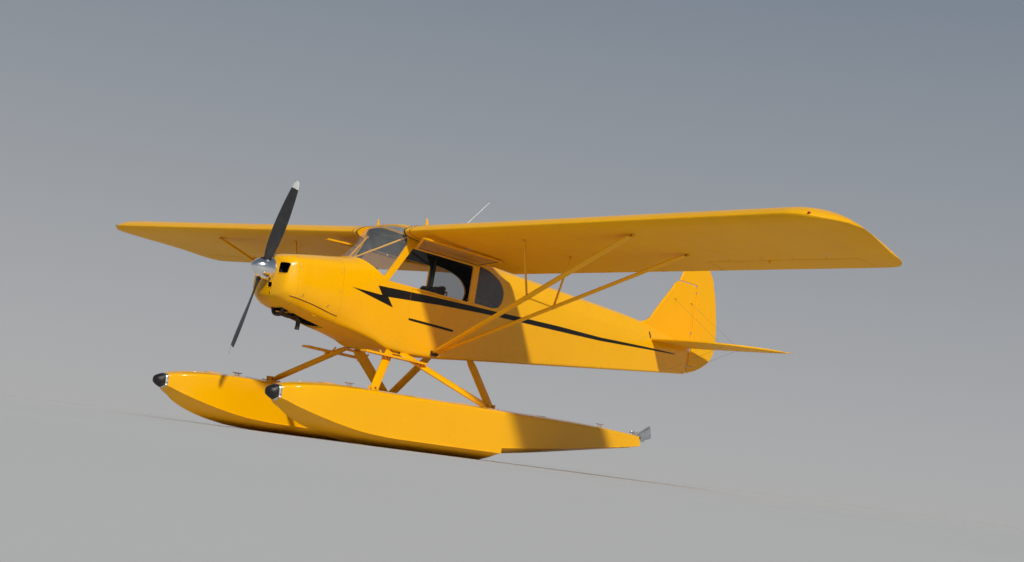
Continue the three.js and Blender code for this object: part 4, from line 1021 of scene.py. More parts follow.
BLADE = [(28, 66, 62, 56), (70, 74, 58, 52), (120, 84, 46, 45), (180, 100, 34, 39), (240, 116, 26, 34), (330, 131, 21, 29), (420, 140, 17, 25), (510, 139, 14.5, 22),
         (600, 132, 12, 19), (690, 121, 10, 17), (760, 108, 9, 15), (820, 92, 8, 14), (860, 74, 7, 13), (884, 54, 6, 12.4), (897, 26, 4.5, 12), (899.5, 10, 3, 12)]
BSEC = [(-0.5, 0.0), (-0.485, 0.13), (-0.44, 0.26), (-0.36, 0.38), (-0.22, 0.47), (-0.05, 0.5), (0.12, 0.46), (0.28, 0.36), (0.41, 0.2), (0.5, 0.02),
        (0.44, -0.05), (0.3, -0.12), (0.12, -0.2), (-0.08, -0.26), (-0.28, -0.28), (-0.42, -0.2), (-0.49, -0.08)]


def blade_rings(sign):
    B = np.array(BLADE, float)
    rr = np.concatenate([np.linspace(28, 860, 46), [868, 876, 884, 890, 895, 898, 899.5]])
    V = pchip(B[:, 0], B[:, 1:], rr)
    out = []
    for r, (c, t, tw) in zip(rr, V):
        a = math.radians(tw)
        ring = []
        k = max(0.0, min(1.0, (150 - r) / 110.0))          # the shank turns round towards the hub
        for i, (u, w) in enumerate(BSEC):
            ang = math.atan2(w * 1.6, u)
            cu, cw = 0.36 * math.cos(ang), 0.36 * math.sin(ang)
            uu, ww = u * c * (1 - k) + cu * c * k, w * t * (1 - k) + cw * c * k
            along, back = uu, -ww
            x = along * math.cos(a) - back * math.sin(a)
            y = along * math.sin(a) + back * math.cos(a)
            ring.append((x * sign, -1335 + y, r * sign))
        out.append(ring)
    return np.array(out)


b = Build()
for s in (1, -1):
    P = blade_rings(s)
    tip = int(np.argmax(np.abs(P[:, 0, 2]) > 822))
    b.grid(P[:tip + 1], 0, cap0=True, cap1=False)
    b.grid(P[tip:], 2, cap0=False, cap1=True)
b.lathe([(0.1, -40), (60, -40), (63, -37), (63, 34), (60, 38), (0.1, 38)], (0, -1335, 0), (0, -1, 0), 40, 1)
for k in range(6):
    a = 2 * math.pi * k / 6
    b.hexbolt((48 * math.cos(a), -1373, 48 * math.sin(a)), (0, -1, 0), 7, 7, 1)
make("propeller_blades", b, ["blade", "satin", "dial"], "propeller_unit", AIR @ REST, 40, ("propeller",), weld=0.05)

# ------------------------------------------------------------------ fuselage skins
WALL = 20
SCREEN = [(-415, -270), (-128, -440), (92, -62), (92, 250), (-700, 250), (-700, -270)]
SIDE_WINDOW = [(-70, -468), (1034, -468), (1034, -86), (170, -86)]
QUARTER = [(1116, -462), (1400, -462), (1500, -428), (1550, -348), (1556, -262), (1484, -165), (1340, -100), (1230, -76), (1116, -66)]
DOOR = dict(y0=240, y1=900, z0=-785, z1=-490, gap=1.4)
SKY = dict(y0=150, y1=900, x=285)
q_in = np.array(QUARTER, float)
QUARTER_S = np.concatenate([[q_in[0]], cardinal(q_in[1:8], even(6, 6)), [q_in[8]]])
SCREEN_R = round_poly(SCREEN, [60, 26, 12, 0, 0, 0], 6)
WINDOW_R = round_poly(SIDE_WINDOW, [18, 26, 26, 18], 5)
DOOR_BOX = (DOOR["y0"], DOOR["y1"], DOOR["z0"], DOOR["z1"])
door_hole = round_poly([(240, -785), (900, -785), (900, -486), (240, -486)], [22, 22, 0, 0], 5)

boot = raw(Build().shell(body_grid(stations(-605.9, -75, 14), 0), body_grid(stations(-605.9, -75, 14), WALL)), "boot_cowl_skin")
boolean(boot, [Build().prism(SCREEN_R, "x", -600, 600), Build().prism(round_poly([(-70.5, -468), (-70.5, -100), (-60, -100), (-60, -468)], 0), "x", -600, 600)])
place(boot, ["metal", "dark"], "airframe", sharp=38, nodes=("boot_cowl",))

cab = raw(Build().shell(body_grid(stations(-74.7, 1620, 22), 0), body_grid(stations(-74.7, 1620, 22), WALL)), "cabin_skin")
boolean(cab, [Build().prism(SCREEN_R, "x", -600, 600), Build().prism(WINDOW_R, "x", -600, 600), Build().prism(QUARTER_S, "x", -600, 600),
              Build().prism(door_hole, "x", -600, 600), Build().prism(round_poly([(-SKY["x"], 150), (SKY["x"], 150), (SKY["x"], 900), (-SKY["x"], 900)], 30), "z", 60, 300)])
place(cab, ["fabric", "liner"], "airframe", sharp=38, nodes=("belly", "cabin_roof", "cabin_side_left", "cabin_side_right"))

ys = stations(1620.3, 4900, 40) + [4960, 5000, 5018, 5028, 5033, 5035]
P = body_grid(ys)
for i, y in enumerate(ys):                       # the stern post's rounded end
    if y > 4990:
        k = math.sqrt(max(0.0, 1 - ((y - 4990) / 47.0) ** 2))
        P[i, :, 0] *= 0.35 + 0.65 * k
b = Build().grid(P, cap0=True, cap1=True)
make("rear_fuselage_skin", b, ["fabric"], nodes=("rear_fuselage",), sharp=32)

# ------------------------------------------------------------------ glazing
def glazing(name, region, y0, y1, d, t, nodes, mat="glass", axis="x", lo=-600, hi=600):
    ys = stations(y0, y1, 20)
    o = raw(Build().shell(body_grid(ys, d), body_grid(ys, d + t), 0, 0), name)
    boolean(o, [Build().prism(region, axis, lo, hi)], "INTERSECT")
    return place(o, [mat], "airframe", sharp=40, nodes=nodes)


glazing("windshield_pane", inset(SCREEN_R, 1.5), -560, 110, 3, 4, ("windshield",))
glazing("skylight_pane", round_poly([(-283.5, 151.5), (283.5, 151.5), (283.5, 898.5), (-283.5, 898.5)], 28), 130, 920, 3, 4, ("skylight",), "smoke", "z", 60, 300)
for s, side in ((1, "left"), (-1, "right")):
    glazing(f"quarter_pane_{side[0]}", inset(QUARTER_S, 1.5), 1090, 1590, 3, 4, (f"quarter_window_{side}",), "smoke", "x", *((5, 600) if s > 0 else (-600, -5)))

# ------------------------------------------------------------------ wings
AIRFOIL = [(1, 0.002), (0.85, 0.038), (0.68, 0.074), (0.5, 0.102), (0.33, 0.117), (0.2, 0.113), (0.1, 0.095), (0.04, 0.071),
           (0.01, 0.05), (0, 0.035), (0.01, 0.02), (0.04, 0.01), (0.1, 0.004), (0.2, 0), (0.5, 0), (0.78, 0), (1, -0.002)]
TIP = [(4950, 0, 1600, 1), (5060, 5, 1596, 0.98), (5150, 22, 1566, 0.91), (5215, 48, 1490, 0.82), (5258, 80, 1400, 0.72), (5282, 100, 1240, 0.64),
       (5318, 134, 1060, 0.52), (5360, 190, 866, 0.38), (5390, 270, 720, 0.22), (5406, 375, 600, 0.1)]
RIB0, PITCH_X = 368.0, 357.0
foil = cardinal(np.array(AIRFOIL, float), [[j / n for j in range(n)] for n in (6, 6, 6, 5, 5, 5, 4, 4, 3, 3, 4, 4, 5, 8, 8, 6)])
NF = len(foil)


def wing_ring(x, y0, y1, thick, sag):
    out = []
    for c, h in foil:
        y = y0 + c * (y1 - y0)
        mid = 0.045 * 1600 * math.sin(math.pi * min(1.0, (y / 1600.0) * 0.9 + 0.1))
        z = h * 1600
        lift = 14 * (1 - thick) * (y / 1600.0)
        # cloth pulled in between the ribs, aft of the metal leading edge and clear of the trailing edge
        env = min(1.0, max(0.0, (c - 0.17) / 0.12)) * min(1.0, max(0.0, (0.985 - c) / 0.2))
        way = -1 if h > 0.012 or (c > 0.3 and h > 0.001) else 1
        out.append((x - 368, y, mid + lift + (z - mid) * thick + way * sag * env))
    return out


xs_w = [368.0]
x = 368.0
while x < 4950 - 1:
    nx = min(4950.0, x + PITCH_X)
    for j in range(1, 9):
        xs_w.append(x + (nx - x) * j / 8)
    x = nx
rings = []
for x in xs_w:
    u = ((x - RIB0) / PITCH_X) % 1.0
    k = (1 - (2 * u - 1) ** 2)
    rings.append(wing_ring(x, 0, 1600, 1, 2.6 * k))
tip = cardinal(np.array(TIP, float), [[j / n for j in range(n)] for n in (4, 4, 5, 5, 4, 5, 5, 5, 5)],
               lengths=np.array([110, 95, 100, 105, 165, 190, 205, 170, 150], float))
for row in tip[1:]:
    rings.append(wing_ring(row[0], row[1], row[2], max(0.06, row[3]), 0))
WP = np.array(rings)


def closed_foil(P, mat=0):
    """Stations of a closed section whose point i on the upper side faces point n-1-i on the lower one."""
    R, N = P.shape[:2]
    faces = [(r * N + i, r * N + (i + 1) % N, (r + 1) * N + (i + 1) % N, (r + 1) * N + i) for r in range(R - 1) for i in range(N)]
    for r in (0, R - 1):
        for i in range(N // 2):
            a, b, c, d = r * N + i, r * N + i + 1, r * N + N - 2 - i, r * N + N - 1 - i
            if b == c:
                faces.append((a, b, d))
            elif b < c:
                faces.append((a, b, c, d))
    return Build().add(P.reshape(-1, 3), faces, mat)


AIL = dict(x0=3260 - 368, x1=4920 - 368, y=1288, z=47, nose=43, clear=7, side=6)


def bar(x0, x1, r):
    return Build().lathe([(0.1, 0), (r, 0), (r, x1 - x0), (0.1, x1 - x0)], (x0, AIL["y"], AIL["z"]), (1, 0, 0), 40)


blank = closed_foil(WP)
wing = raw(blank, "wing_blank", 0.01)
ail = wing.copy()
ail.data = wing.data.copy()
bpy.context.scene.collection.objects.link(ail)
boolean(wing, [Build().box((AIL["x0"], AIL["y"], -200), (AIL["x1"], 1800, 300)), bar(AIL["x0"], AIL["x1"], AIL["nose"] + AIL["clear"])])
tool = raw(Build().box((AIL["x0"] + AIL["side"], AIL["y"], -200), (AIL["x1"] - AIL["side"], 1800, 300)), "t")
boolean(tool, [bar(AIL["x0"] + AIL["side"], AIL["x1"] - AIL["side"], AIL["nose"])], "UNION")
boolean(ail, [tool], "INTERSECT")
pair("wing_cover", wing, ["wing"], m=AIR @ WING, nodes="wing", sharp=30)
pair("aileron_cover", ail, ["wing"], ("left_aileron", "right_aileron"), m=AIR @ WING, nodes="aileron", sharp=30)
_wt = Build().join(blank)
WING_TREE = BVHTree.FromPolygons([Vector(p) for p in _wt.v], _wt.f)


def on_wing(x, y, top=True, out=0.0):
    h = WING_TREE.ray_cast(Vector((x, y, 400 if top else -300)), Vector((0, 0, -1 if top else 1)))
    if h[0] is None:
        return None, None
    n = h[1] if (h[1].z > 0) == top else -h[1]
    return np.array(h[0] + n * out), np.array(n)


b = Build()
# root fairing strip round the leading edge between two dark seams
def wrap_strip(x0, x1, proud, mat, c0=0.24, c1=0.20, rows=3):
    """A strip of sheet wrapped round the leading edge from the upper to the lower side."""
    idx = [i for i in range(NF) if (foil[i][0] <= c0 and i <= 45) or (foil[i][0] <= c1 and i > 30)]
    idx = sorted(set(idx))
    sec0 = np.array([(foil[i][0] * 1600, foil[i][1] * 1600) for i in idx])
    t = np.gradient(sec0, axis=0)
    n = np.stack([t[:, 1], -t[:, 0]], 1)
    n /= np.linalg.norm(n, axis=1, keepdims=True)
    if n[len(n) // 2][0] > 0:
        n = -n
    P = []
    for x, k in [(x0, -1.5), (x0, proud), ((x0 + x1) / 2, proud), (x1, proud), (x1, -1.5)]:
        s = sec0 + n * k
        P.append(np.stack([np.full(len(s), x - 368), s[:, 0], s[:, 1]], 1))
    P = np.array(P)
    Rr, N = P.shape[:2]
    faces = []
    for r in range(Rr):
        q = (r + 1) % Rr
        for i in range(N - 1):
            faces.append((r * N + i, r * N + i + 1, q * N + i + 1, q * N + i))
    faces += [tuple(r * N for r in range(Rr)), tuple(r * N + N - 1 for r in range(Rr))[::-1]]
    b.add(P.reshape(-1, 3), faces, mat)


wrap_strip(371, 388, 2.4, 1)
wrap_strip(389, 452, 1.0, 0)
wrap_strip(453, 459, 1.4, 1)
for x in (396, 446):
    for c in (0.03, 0.075, 0.13, 0.19):
        for top in (True, False):
            q, n = on_wing(x - 368, c * 1600, top, 0.8)
            if q is not None:
                b.screw(q, n, 3.4, 1.4, 2)
# fuel caps, vents, inspection rings, drain grommets, tip light
q, n = on_wing(150, 620, True, 0)
b.lathe([(48, -1), (48, 1.6), (40, 3), (38, 12), (35, 14), (12, 15), (10, 22), (4, 24), (0.1, 24)], q, n, 36, 2)
b.tube([(24, 268, 150), (24, 268, 196), (23, 264, 226), (22, 256, 248), (22, 252, 256)], 19, 16, 0, wide=13, taper=[1.1, 1, 0.78, 0.4, 0.16])
b.lathe([(34, -2), (34, 2), (26, 6), (21, 10), (0.1, 10)], on_wing(24, 268, True, 0)[0], (0, 0, 1), 28, 0)
for x, y in ((2560 - 368, 1320), (3570 - 368, 1090), (4700 - 368, 1100), (1250 - 368, 520), (2100 - 368, 700)):
    q, n = on_wing(x, y, False, 0)
    b.lathe([(0.1, -0.5), (50, -0.5), (50, 0.7), (46, 1.3), (44, 1.1), (0.1, 1.1)], q, n, 40, 0)
for k in range(1, 13):
    x = k * PITCH_X - 24
    if x < 4560:
        q, n = on_wing(x, 1570 if not (AIL["x0"] - 10 < x < AIL["x1"] + 10) else 1215, False, 0)
        if q is not None:
            b.lathe([(0.1, -0.5), (8, -0.5), (8, 0.8), (4, 1.6), (0.1, 1.6)], q, n, 14, 1)
q, n = on_wing(5210 - 368, 95, True, 0)
q2 = np.array(q) + np.array((22, -8, -26))
b.tube([q2 + np.array((-6, 46, 2)), q2 + np.array((0, 12, 0)), q2 + np.array((3, -16, -1)), q2 + np.array((4, -26, -2))], 13, 14, 0, wide=11, taper=[0.35, 1, 0.9, 0.5])
# aileron hinges and cable exits
for x in (AIL["x0"] + 130, (AIL["x0"] + AIL["x1"]) / 2, AIL["x1"] - 130):
    b.box((x - 3, AIL["y"] - 64, AIL["z"] - 36), (x + 3, AIL["y"] - 10, AIL["z"] - 20), 2, 1)
q, n = on_wing(AIL["x0"] + 700, 1180, False, 0)
b.lathe([(0.1, -1), (16, -1), (16, 2), (7, 5), (0.1, 5)], q, n, 20, 0)
pair("wing_fittings", b, ["metal", "rubber", "satin"], m=AIR @ WING, sharp=45)
# coloured tip lamps: green on the right, red on the left
for s, nm, mt in ((1, "tip_lamp_l", "red_lens"), (-1, "tip_lamp_r", "green_lens")):
    bb = Build().tube([q2 + np.array((3, -14, -1)), q2 + np.array((4, -24, -2)), q2 + np.array((5, -36, -3)), q2 + np.array((5, -42, -3))], 11, 14, 0, wide=9.5, taper=[1, 0.98, 0.72, 0.3])
    place(raw(bb, nm), [mt], "airframe", AIR @ WING, 50, (), nm, mirror=(s < 0))
# aileron horn under the leading edge, riding with it
b = Build()
for x in (AIL["x0"] + 700,):
    b.prism([(AIL["y"] - 16, AIL["z"] - 30), (AIL["y"] + 34, AIL["z"] - 40), (AIL["y"] + 8, AIL["z"] - 74), (AIL["y"] - 2, AIL["z"] - 74)], "x", x - 2, x + 2)
pair("aileron_horn", b, ["metal"], ("left_aileron", "right_aileron"), m=AIR @ WING, sharp=30)

# ------------------------------------------------------------------ lift struts
def under_wing(x, y):
    return (x - 368) * 0.024 - y * 0.03


FIT_F, FIT_R = np.array((378, 650, -1076.0)), np.array((378, 676, -1076.0))
TOP_F, TOP_R = np.array((3200, 262, under_wing(3200, 262) - 8)), np.array((3250, 985, under_wing(3250, 985) - 8))


def along(a, b2, x):
    t = (x - a[0]) / (b2[0] - a[0])
    return a + (b2 - a) * t


jf, jr = along(FIT_F, TOP_F, 1800), along(FIT_R, TOP_R, 1800)
b = Build()
b.strut(FIT_F + np.array((26, -4, 10)), TOP_F + np.array((-26, 0, -8)), 74, 34, 0, 28, 70)
b.strut(FIT_R + np.array((26, 3, 10)), TOP_R + np.array((-26, 0, -8)), 62, 30, 0, 28, 66)
jtf, jtr = np.array((1800, 300, under_wing(1800, 300) + 1)), np.array((1800, 965, under_wing(1800, 965) + 1))
b.strut(jf, jtf, 26, 15, 0, 16)
b.strut(jr, jtr, 26, 15, 0, 16)
b.strut(jf + np.array((0, 22, 2)), jr - np.array((0, 22, -2)), 16, 12, 0, 14, aim=(1, 0, 0))
for p, q, w in ((jf, TOP_F, 80), (jr, TOP_R, 68)):
    d = (q - p) / np.linalg.norm(q - p)
    b.strut(p - d * 16, p + d * 16, w + 2, w * 0.52, 1, 24)
    b.hexbolt(p + np.array((0, -w * 0.2, -w * 0.24)), (0, -0.3, -1), 5, 4, 2)
for p, t in ((TOP_F, FIT_F), (TOP_R, FIT_R)):
    d = (t - p) / np.linalg.norm(t - p)
    # forked wing fitting: two plates down from the spar and a bolt through the strut's end
    for k in (-9, 9):
        b.box((p[0] - 24, p[1] + k - 2, p[2] - 14), (p[0] + 20, p[1] + k + 2, p[2] + 14), 1, 1)
    b.hexbolt(p + np.array((0, -12, -2)), (0, -1, 0), 7, 6, 2)
    b.hexbolt(p + np.array((0, 12, -2)), (0, 1, 0), 7, 6, 2)
    b.lathe([(0.1, -0.5), (34, -0.5), (34, 1.2), (0.1, 1.2)], p + np.array((0, 0, 8)), (0.02, 0.03, -1), 24, 0)
for p in (jtf, jtr):
    b.box((p[0] - 18, p[1] - 14, p[2] - 5), (p[0] + 18, p[1] + 14, p[2] + 1), 1, 1.5)
    b.hexbolt(p + np.array((0, -13, -7)), (0, -1, 0), 4, 4, 2)
b.box((361.4, 622, -1104), (368, 706, -1050), 2, 2)
for dy in (634, 664, 694):
    b.box((366, dy - 5, -1094), (404, dy + 5, -1052), 2, 1.5)
b.hexbolt((392, 650 - 20, -1076), (0, -1, 0), 8, 7, 2)
b.hexbolt((392, 676 + 22, -1076), (0, 1, 0), 8, 7, 2)
for y, z in ((630, -1062), (698, -1062), (630, -1094), (698, -1094)):
    b.hexbolt((368, y, z), (1, 0, 0), 5, 4, 2)
pair("lift_strut_set", b, ["tube", "metal", "bolt"], nodes="lift_struts", sharp=40)

# ------------------------------------------------------------------ tail surfaces
def surf_us(L):
    e0, e1 = 13.0 / L, 9.0 / L
    a = [0, 0.12 * e0, 0.35 * e0, 0.65 * e0, e0]
    m = [e0 + (1 - e0 - e1) * k / 14 for k in range(1, 14)]
    z = [1 - e1, 1 - 0.65 * e1, 1 - 0.35 * e1, 1 - 0.12 * e1, 1]
    return a + m + z


def surface(rows, axis, taper=True, sag=0.9, pitch=260.0, edge=(13.0, 9.0), thin=0.45):
    """Closed grid (stations, around, 3): half thickness h at the front, down to a tube at the rear edge."""
    P = []
    for s, y0, y1, h in rows:
        L = max(30.0, y1 - y0)
        mid = (y0 + y1) / 2
        y0, y1 = mid - L / 2, mid + L / 2
        us = surf_us(L)
        e0, e1 = edge[0] / L, edge[1] / L
        u = ((abs(s) - 100) / pitch) % 1.0
        dip = sag * (1 - (2 * u - 1) ** 2)
        top = []
        for t in us:
            hh = h * (1 - (1 - thin) * t) if taper else h
            if t < e0:
                w = hh * math.sqrt(max(0.0, 1 - (1 - t / e0) ** 2))
            elif t > 1 - e1:
                w = hh * math.sqrt(max(0.0, 1 - (1 - (1 - t) / e1) ** 2))
            else:
                w = hh - dip * min(1.0, (t - e0) / 0.15, (1 - e1 - t) / 0.15)
            top.append((y0 + L * t, max(w, 0.0)))
        ring = [(y, w) for y, w in top] + [(y, -w) for y, w in top[::-1][1:-1]]
        P.append([(s, y, w) if axis == "x" else (w, y, s) for y, w in ring])
    return np.array(P)


def dense(rows, step=32, tip_power=True):
    rows = np.array(rows, float)
    L = np.array([max(1.0, np.linalg.norm(rows[k + 1][:3] - rows[k][:3])) for k in range(len(rows) - 1)])
    return cardinal(rows, [[j / n for j in range(n)] for n in (max(2, int(round(l / step))) for l in L)], lengths=L)


def close_tip(P, s_end, n=4, depth=7.0, axis=0):
    """Round off the last station: shrink its thickness and length over a few rings."""
    last = P[-1].copy()
    c = last.mean(0)
    out = [*P]
    way = np.sign(s_end - P[-2].mean(0)[axis]) or 1
    for k in range(1, n + 1):
        a = math.pi / 2 * k / n
        ring = c + (last - c) * (math.cos(a) * 0.995 + 0.005)
        if axis == 0:
            ring[:, 1] = c[1] + (last[:, 1] - c[1]) * (1 - 0.25 * (1 - math.cos(a)))
        else:
            ring[:, 1] = c[1] + (last[:, 1] - c[1]) * (1 - 0.25 * (1 - math.cos(a)))
        ring[:, axis] = last[:, axis] + way * depth * math.sin(a)
        out.append(ring)
    return np.array(out)


STAB_END, ELEV_Y = 5047, 5064
stab = np.array([(44, 4950, STAB_END, 13), (83, 4592, STAB_END, 14), (122, 4235, STAB_END, 14)], float)
stab = np.vstack([stab[:2], dense([(122, 4235, STAB_END, 14), (300, 4240, STAB_END, 14), (480, 4250, STAB_END, 14), (700, 4275, STAB_END, 14), (900, 4320, STAB_END, 14),
                                   (1110, 4430, STAB_END, 13), (1300, 4630, STAB_END, 12), (1410, 4810, STAB_END, 10), (1468, 4970, STAB_END, 7)])])
P = close_tip(surface(stab, "x", taper=False, edge=(14.0, 10.0)), 1475, depth=7)
# trimmed: the leading edge stands below the hinge line
STAB_DOWN, STAB_Y = math.radians(3.15), 5036


def stab_z(y):
    return TAIL_Z - (STAB_Y - y) * math.tan(STAB_DOWN)


dy, dz = P[:, :, 1] - STAB_Y, P[:, :, 2].copy()
P[:, :, 1] = STAB_Y + dy * math.cos(STAB_DOWN) - dz * math.sin(STAB_DOWN)
P[:, :, 2] = TAIL_Z + dy * math.sin(STAB_DOWN) + dz * math.cos(STAB_DOWN)
pair("tailplane_cover", Build().grid(P, cap0=True, cap1=True), ["tail"], nodes="tailplane", sharp=40)

half = dense([(66, 5052, 5098, 12), (110, 5052, 5230, 12), (180, 5052, 5392, 12.5), (300, 5052, 5495, 13), (600, 5052, 5504, 13), (900, 5052, 5500, 13), (1200, 5052, 5445, 12),
              (1385, 5052, 5310, 10), (1468, 5052, 5165, 8)])
P = close_tip(surface(half, "x", edge=(12.0, 7.0), thin=0.4), 1475, depth=7)
P[:, :, 1] -= ELEV_Y
b = Build().grid(P, cap0=True, cap1=True)
Q = P.copy()
Q[:, :, 0] *= -1
b.grid(Q[:, ::-1], cap0=True, cap1=True)
b.tube([(-74, 0, 0), (74, 0, 0)], 9.5, 16, 0)
for s in (1, -1):
    for x in (250, 760, 1250):
        b.box((s * x - 9, -17, -15), (s * x + 9, 4, 15), 1, 2)
b.prism([(-10, -9), (14, -9), (10, -96), (0, -96)], "x", -3, 3, 1)
b.hexbolt((3, 5, -88), (1, 0, 0), 4, 4, 1)
EL = Matrix.Translation((0, ELEV_Y, TAIL_Z)) @ Matrix.Rotation(math.radians(8), 4, "X")
make("elevator_cover", b, ["tail", "satin"], "elevator_unit", AIR @ EL, 40, ("elevator",), weld=0.02)

# fin: rows over its height from its outline, its leading edge following the ogee of the outline
fin_rows = []
fy = [(-104, 4086), (-96, 4100), (-82, 4140), (-60, 4204), (-34, 4250), (-6, 4284), (40, 4316), (120, 4372), (254, 4475), (400, 4590), (490, 4656), (512, 4685), (521, 4712)]
for z in list(np.linspace(-246, -112, 5)) + list(np.linspace(-104, 0, 20)) + list(np.linspace(20, 505, 20)) + [512, 518, 521]:
    y0 = float(pchip([a for a, _ in fy], np.array([c for _, c in fy], float), [z])[0]) if z > -104.5 else 4086.0 + (-104 - z) * 1.2
    fin_rows.append((z, y0, 5046, 12.5))
P = close_tip(surface(fin_rows, "z", taper=False, sag=0.5, edge=(13.0, 9.0)), 530, depth=5, axis=2)
b = Build().grid(P, cap0=True, cap1=True)
b.box((-7, 5018, -250), (7, 5044, -90), 0, 3)
make("fin_cover", b, ["tail"], nodes=("fin",), sharp=40, weld=0.02)

rud = [(-548, 5070, 5100, 11), (-500, 5074, 5235, 12), (-420, 5074, 5386, 13), (-325, 5074, 5500, 14), (-164, 5074, 5560, 14), (-40, 5074, 5556, 14),
       (180, 5074, 5514, 13.5), (404, 5074, 5455, 13), (548, 5074, 5400, 12.5), (536, 4722, 5402, 12), (647, 4770, 5360, 11.5), (738, 4818, 5290, 10.5), (795, 4925, 5215, 8), (816, 5040, 5178, 6)]
low = dense(rud[:9], 26)
up = dense(rud[9:], 16)
lowP = surface(low, "z", edge=(12.0, 7.0), thin=0.4)
upP = close_tip(surface(up, "z", edge=(14.0, 7.0), thin=0.4), 822, depth=4, axis=2)
o = raw(Build().grid(lowP, cap0=True, cap1=True), "rudder_low", 0.02)
boolean(o, [raw(Build().grid(upP, cap0=True, cap1=True), "t", 0.02)], "UNION")
# the balance part clears the fin, and the spar opening clears the elevator's horn
boolean(o, [Build().box((-60, 4600, 500), (60, 5068, 534.5)), Build().box((-60, 4990, TAIL_Z - 43), (60, 5106, TAIL_Z + 43))])
place(o, ["tail"], "rudder_unit", AIR, 38, ("rudder",), "rudder_cover")
b = Build()
b.tube([(0, 5059, -540), (0, 5059, -282)], 10, 20, 0)
b.tube([(0, 5059, -194), (0, 5059, 498)], 10, 20, 0)
make("rudder_post_tube", b, ["tube"], sharp=60)
# the trim slots' openings, drawn as flat black strips on the skin: painted shade of the recess
b = Build()
for s in (1, -1):
    line = [on_side(4221, -193 - 78 * t, s, 0.3) for t in (0, 0.15, 0.4, 0.7, 0.88, 1)]
    b.tube(line, 2.0, 10, 0, wide=14, up=(s, 0, 0), taper=[0.6, 1, 1, 1, 1, 0.6])
make("tailplane_trim_slot_painted_shade", b, ["black"], sharp=60)
b = Build()
for z in (-470, -60, 440):
    b.box((-11, 5052, z - 12), (11, 5076, z + 12), 0, 2)
b.tube([(0, 5078, -546), (0, 5078, -520)], 7, 12, 0)
for s in (1, -1):
    b.prism([(0, 5084), (s * 92, 5066), (s * 96, 5072), (s * 92, 5078), (0, 5108)], "z", -472, -467, 0)
    b.hexbolt((s * 88, 5072, -467), (0, 0, 1), 4, 4, 1)
make("rudder_hinges_and_horn", b, ["satin", "bolt"], "rudder_unit", sharp=38)
# tail brace wires with their fittings
b = Build()
for s in (1, -1):
    for y in (4700, 5010):
        t = (s * 830, y, stab_z(y))
        for top in (0, 1):
            e = (s * 8, y - (30 if top else 60), 300 if top else -0)
            if not top:
                e = (s * (20 if y > 4900 else 40), y - 60, -600 if y < 4900 else -568)
            a, c = np.array(t, float), np.array(e, float)
            dd = (c - a) / np.linalg.norm(c - a)
            b.tube([a + dd * 10, c - dd * 6], 1.3, 8, 0)
            b.tube([a + dd * 8, a + dd * 46], 4.2, 8, 1)
            b.box(tuple(a + np.array((-9, -5, -15 if not top else 11))), tuple(a + np.array((9, 5, -11 if not top else 15))), 1, 1)
            b.tube([c - dd * 34, c + dd * 2], 4.0, 8, 1)
make("tail_brace_wires", b, ["steel", "bolt"], sharp=45)

# ------------------------------------------------------------------ floats
# y, keel z, chine half-width, chine z, deck half-width, deck z
HULL = [(-1704, 302, 78, 334, 75, 430), (-1675, 288, 92, 328, 88, 437), (-1560, 198, 174, 278, 170, 462), (-1350, 112, 248, 214, 242, 485), (-1100, 52, 290, 159, 285, 500),
        (-800, 14, 308, 118, 304, DECK), (-450, 0, 315, 102, 310, DECK), (905, 0, 315, 98, 310, DECK)]
AFTER = [(905, 62, 313, 152, 310, DECK), (1600, 140, 298, 212, 290, DECK), (2300, 232, 252, 286, 236, 500), (2860, 306, 196, 346, 176, 488), (3140, 342, 158, 378, 136, 478)]
BUMP = [(-1786, 344, 24, 360, 22, 398), (-1768, 328, 50, 350, 47, 410), (-1735, 308, 70, 337, 67, 423), (-1706, 300, 80, 333, 77, 431)]
PR_Y, AFT_Y = 905.0, 3140.0


def crown(y):
    return 22.0 * min(1.0, max(0.0, (y + 1790) / 500.0)) ** 0.6 * min(1.0, max(0.25, (3300 - y) / 700.0))


def hull_ring(y, zk, xc, zc, xd, zd):
    """Half section: keel bar, hollow V bottom, chine with a narrow flat, side, rounded gunwale, crowned deck."""
    kw = min(12.0, 0.14 * xc)
    half = [(0, zk), (kw * 0.7, zk), (kw, zk + 5)]
    n = 11
    for k in range(1, n + 1):
        t = k / n
        x = kw + (xc - 12 - kw) * t
        z = zk + 5 + (zc - 3 - zk - 5) * t - 7.0 * math.sin(math.pi * min(1, t)) * min(1.0, xc / 300) + (5.0 * (t - 0.8) / 0.2 * -1 if t > 0.8 else 0)
        half.append((x, z))
    half += [(xc - 3, zc - 8.5), (xc + 2.5, zc - 8.0), (xc + 3.0, zc - 4.0), (xc, zc + 1)]
    top = zd - 26
    for k in range(1, 7):
        t = k / 6
        half.append((xc + (xd - xc) * t + 2.0 * math.sin(math.pi * t), zc + 1 + (top - zc - 1) * t))
    r = min(30.0, 0.3 * xd)
    for k in range(1, 8):
        a = math.pi / 2 * k / 7
        half.append((xd - r + r * math.cos(a), top + (zd - top) * math.sin(a)))
    w = xd - r
    c = crown(y)
    for k in range(1, 9):
        t = k / 8
        half.append((w * (1 - t), zd + c * (1 - (1 - t) ** 2)))
    return half


def hull_grid(table, ys):
    T = np.array(table, float)
    V = pchip(T[:, 0], T[:, 1:], ys)
    P = []
    for y, v in zip(ys, V):
        h = hull_ring(y, *v)
        ring = h + [(-x, z) for x, z in h[-2:0:-1]]
        P.append([(x, y, z) for x, z in ring])
    return np.array(P)


def stationed(table, step):
    ys = [table[0][0]]
    for a, c in zip(table, table[1:]):
        n = max(2, int(round((c[0] - a[0]) / step)))
        ys += [a[0] + (c[0] - a[0]) * k / n for k in range(1, n + 1)]
    return ys


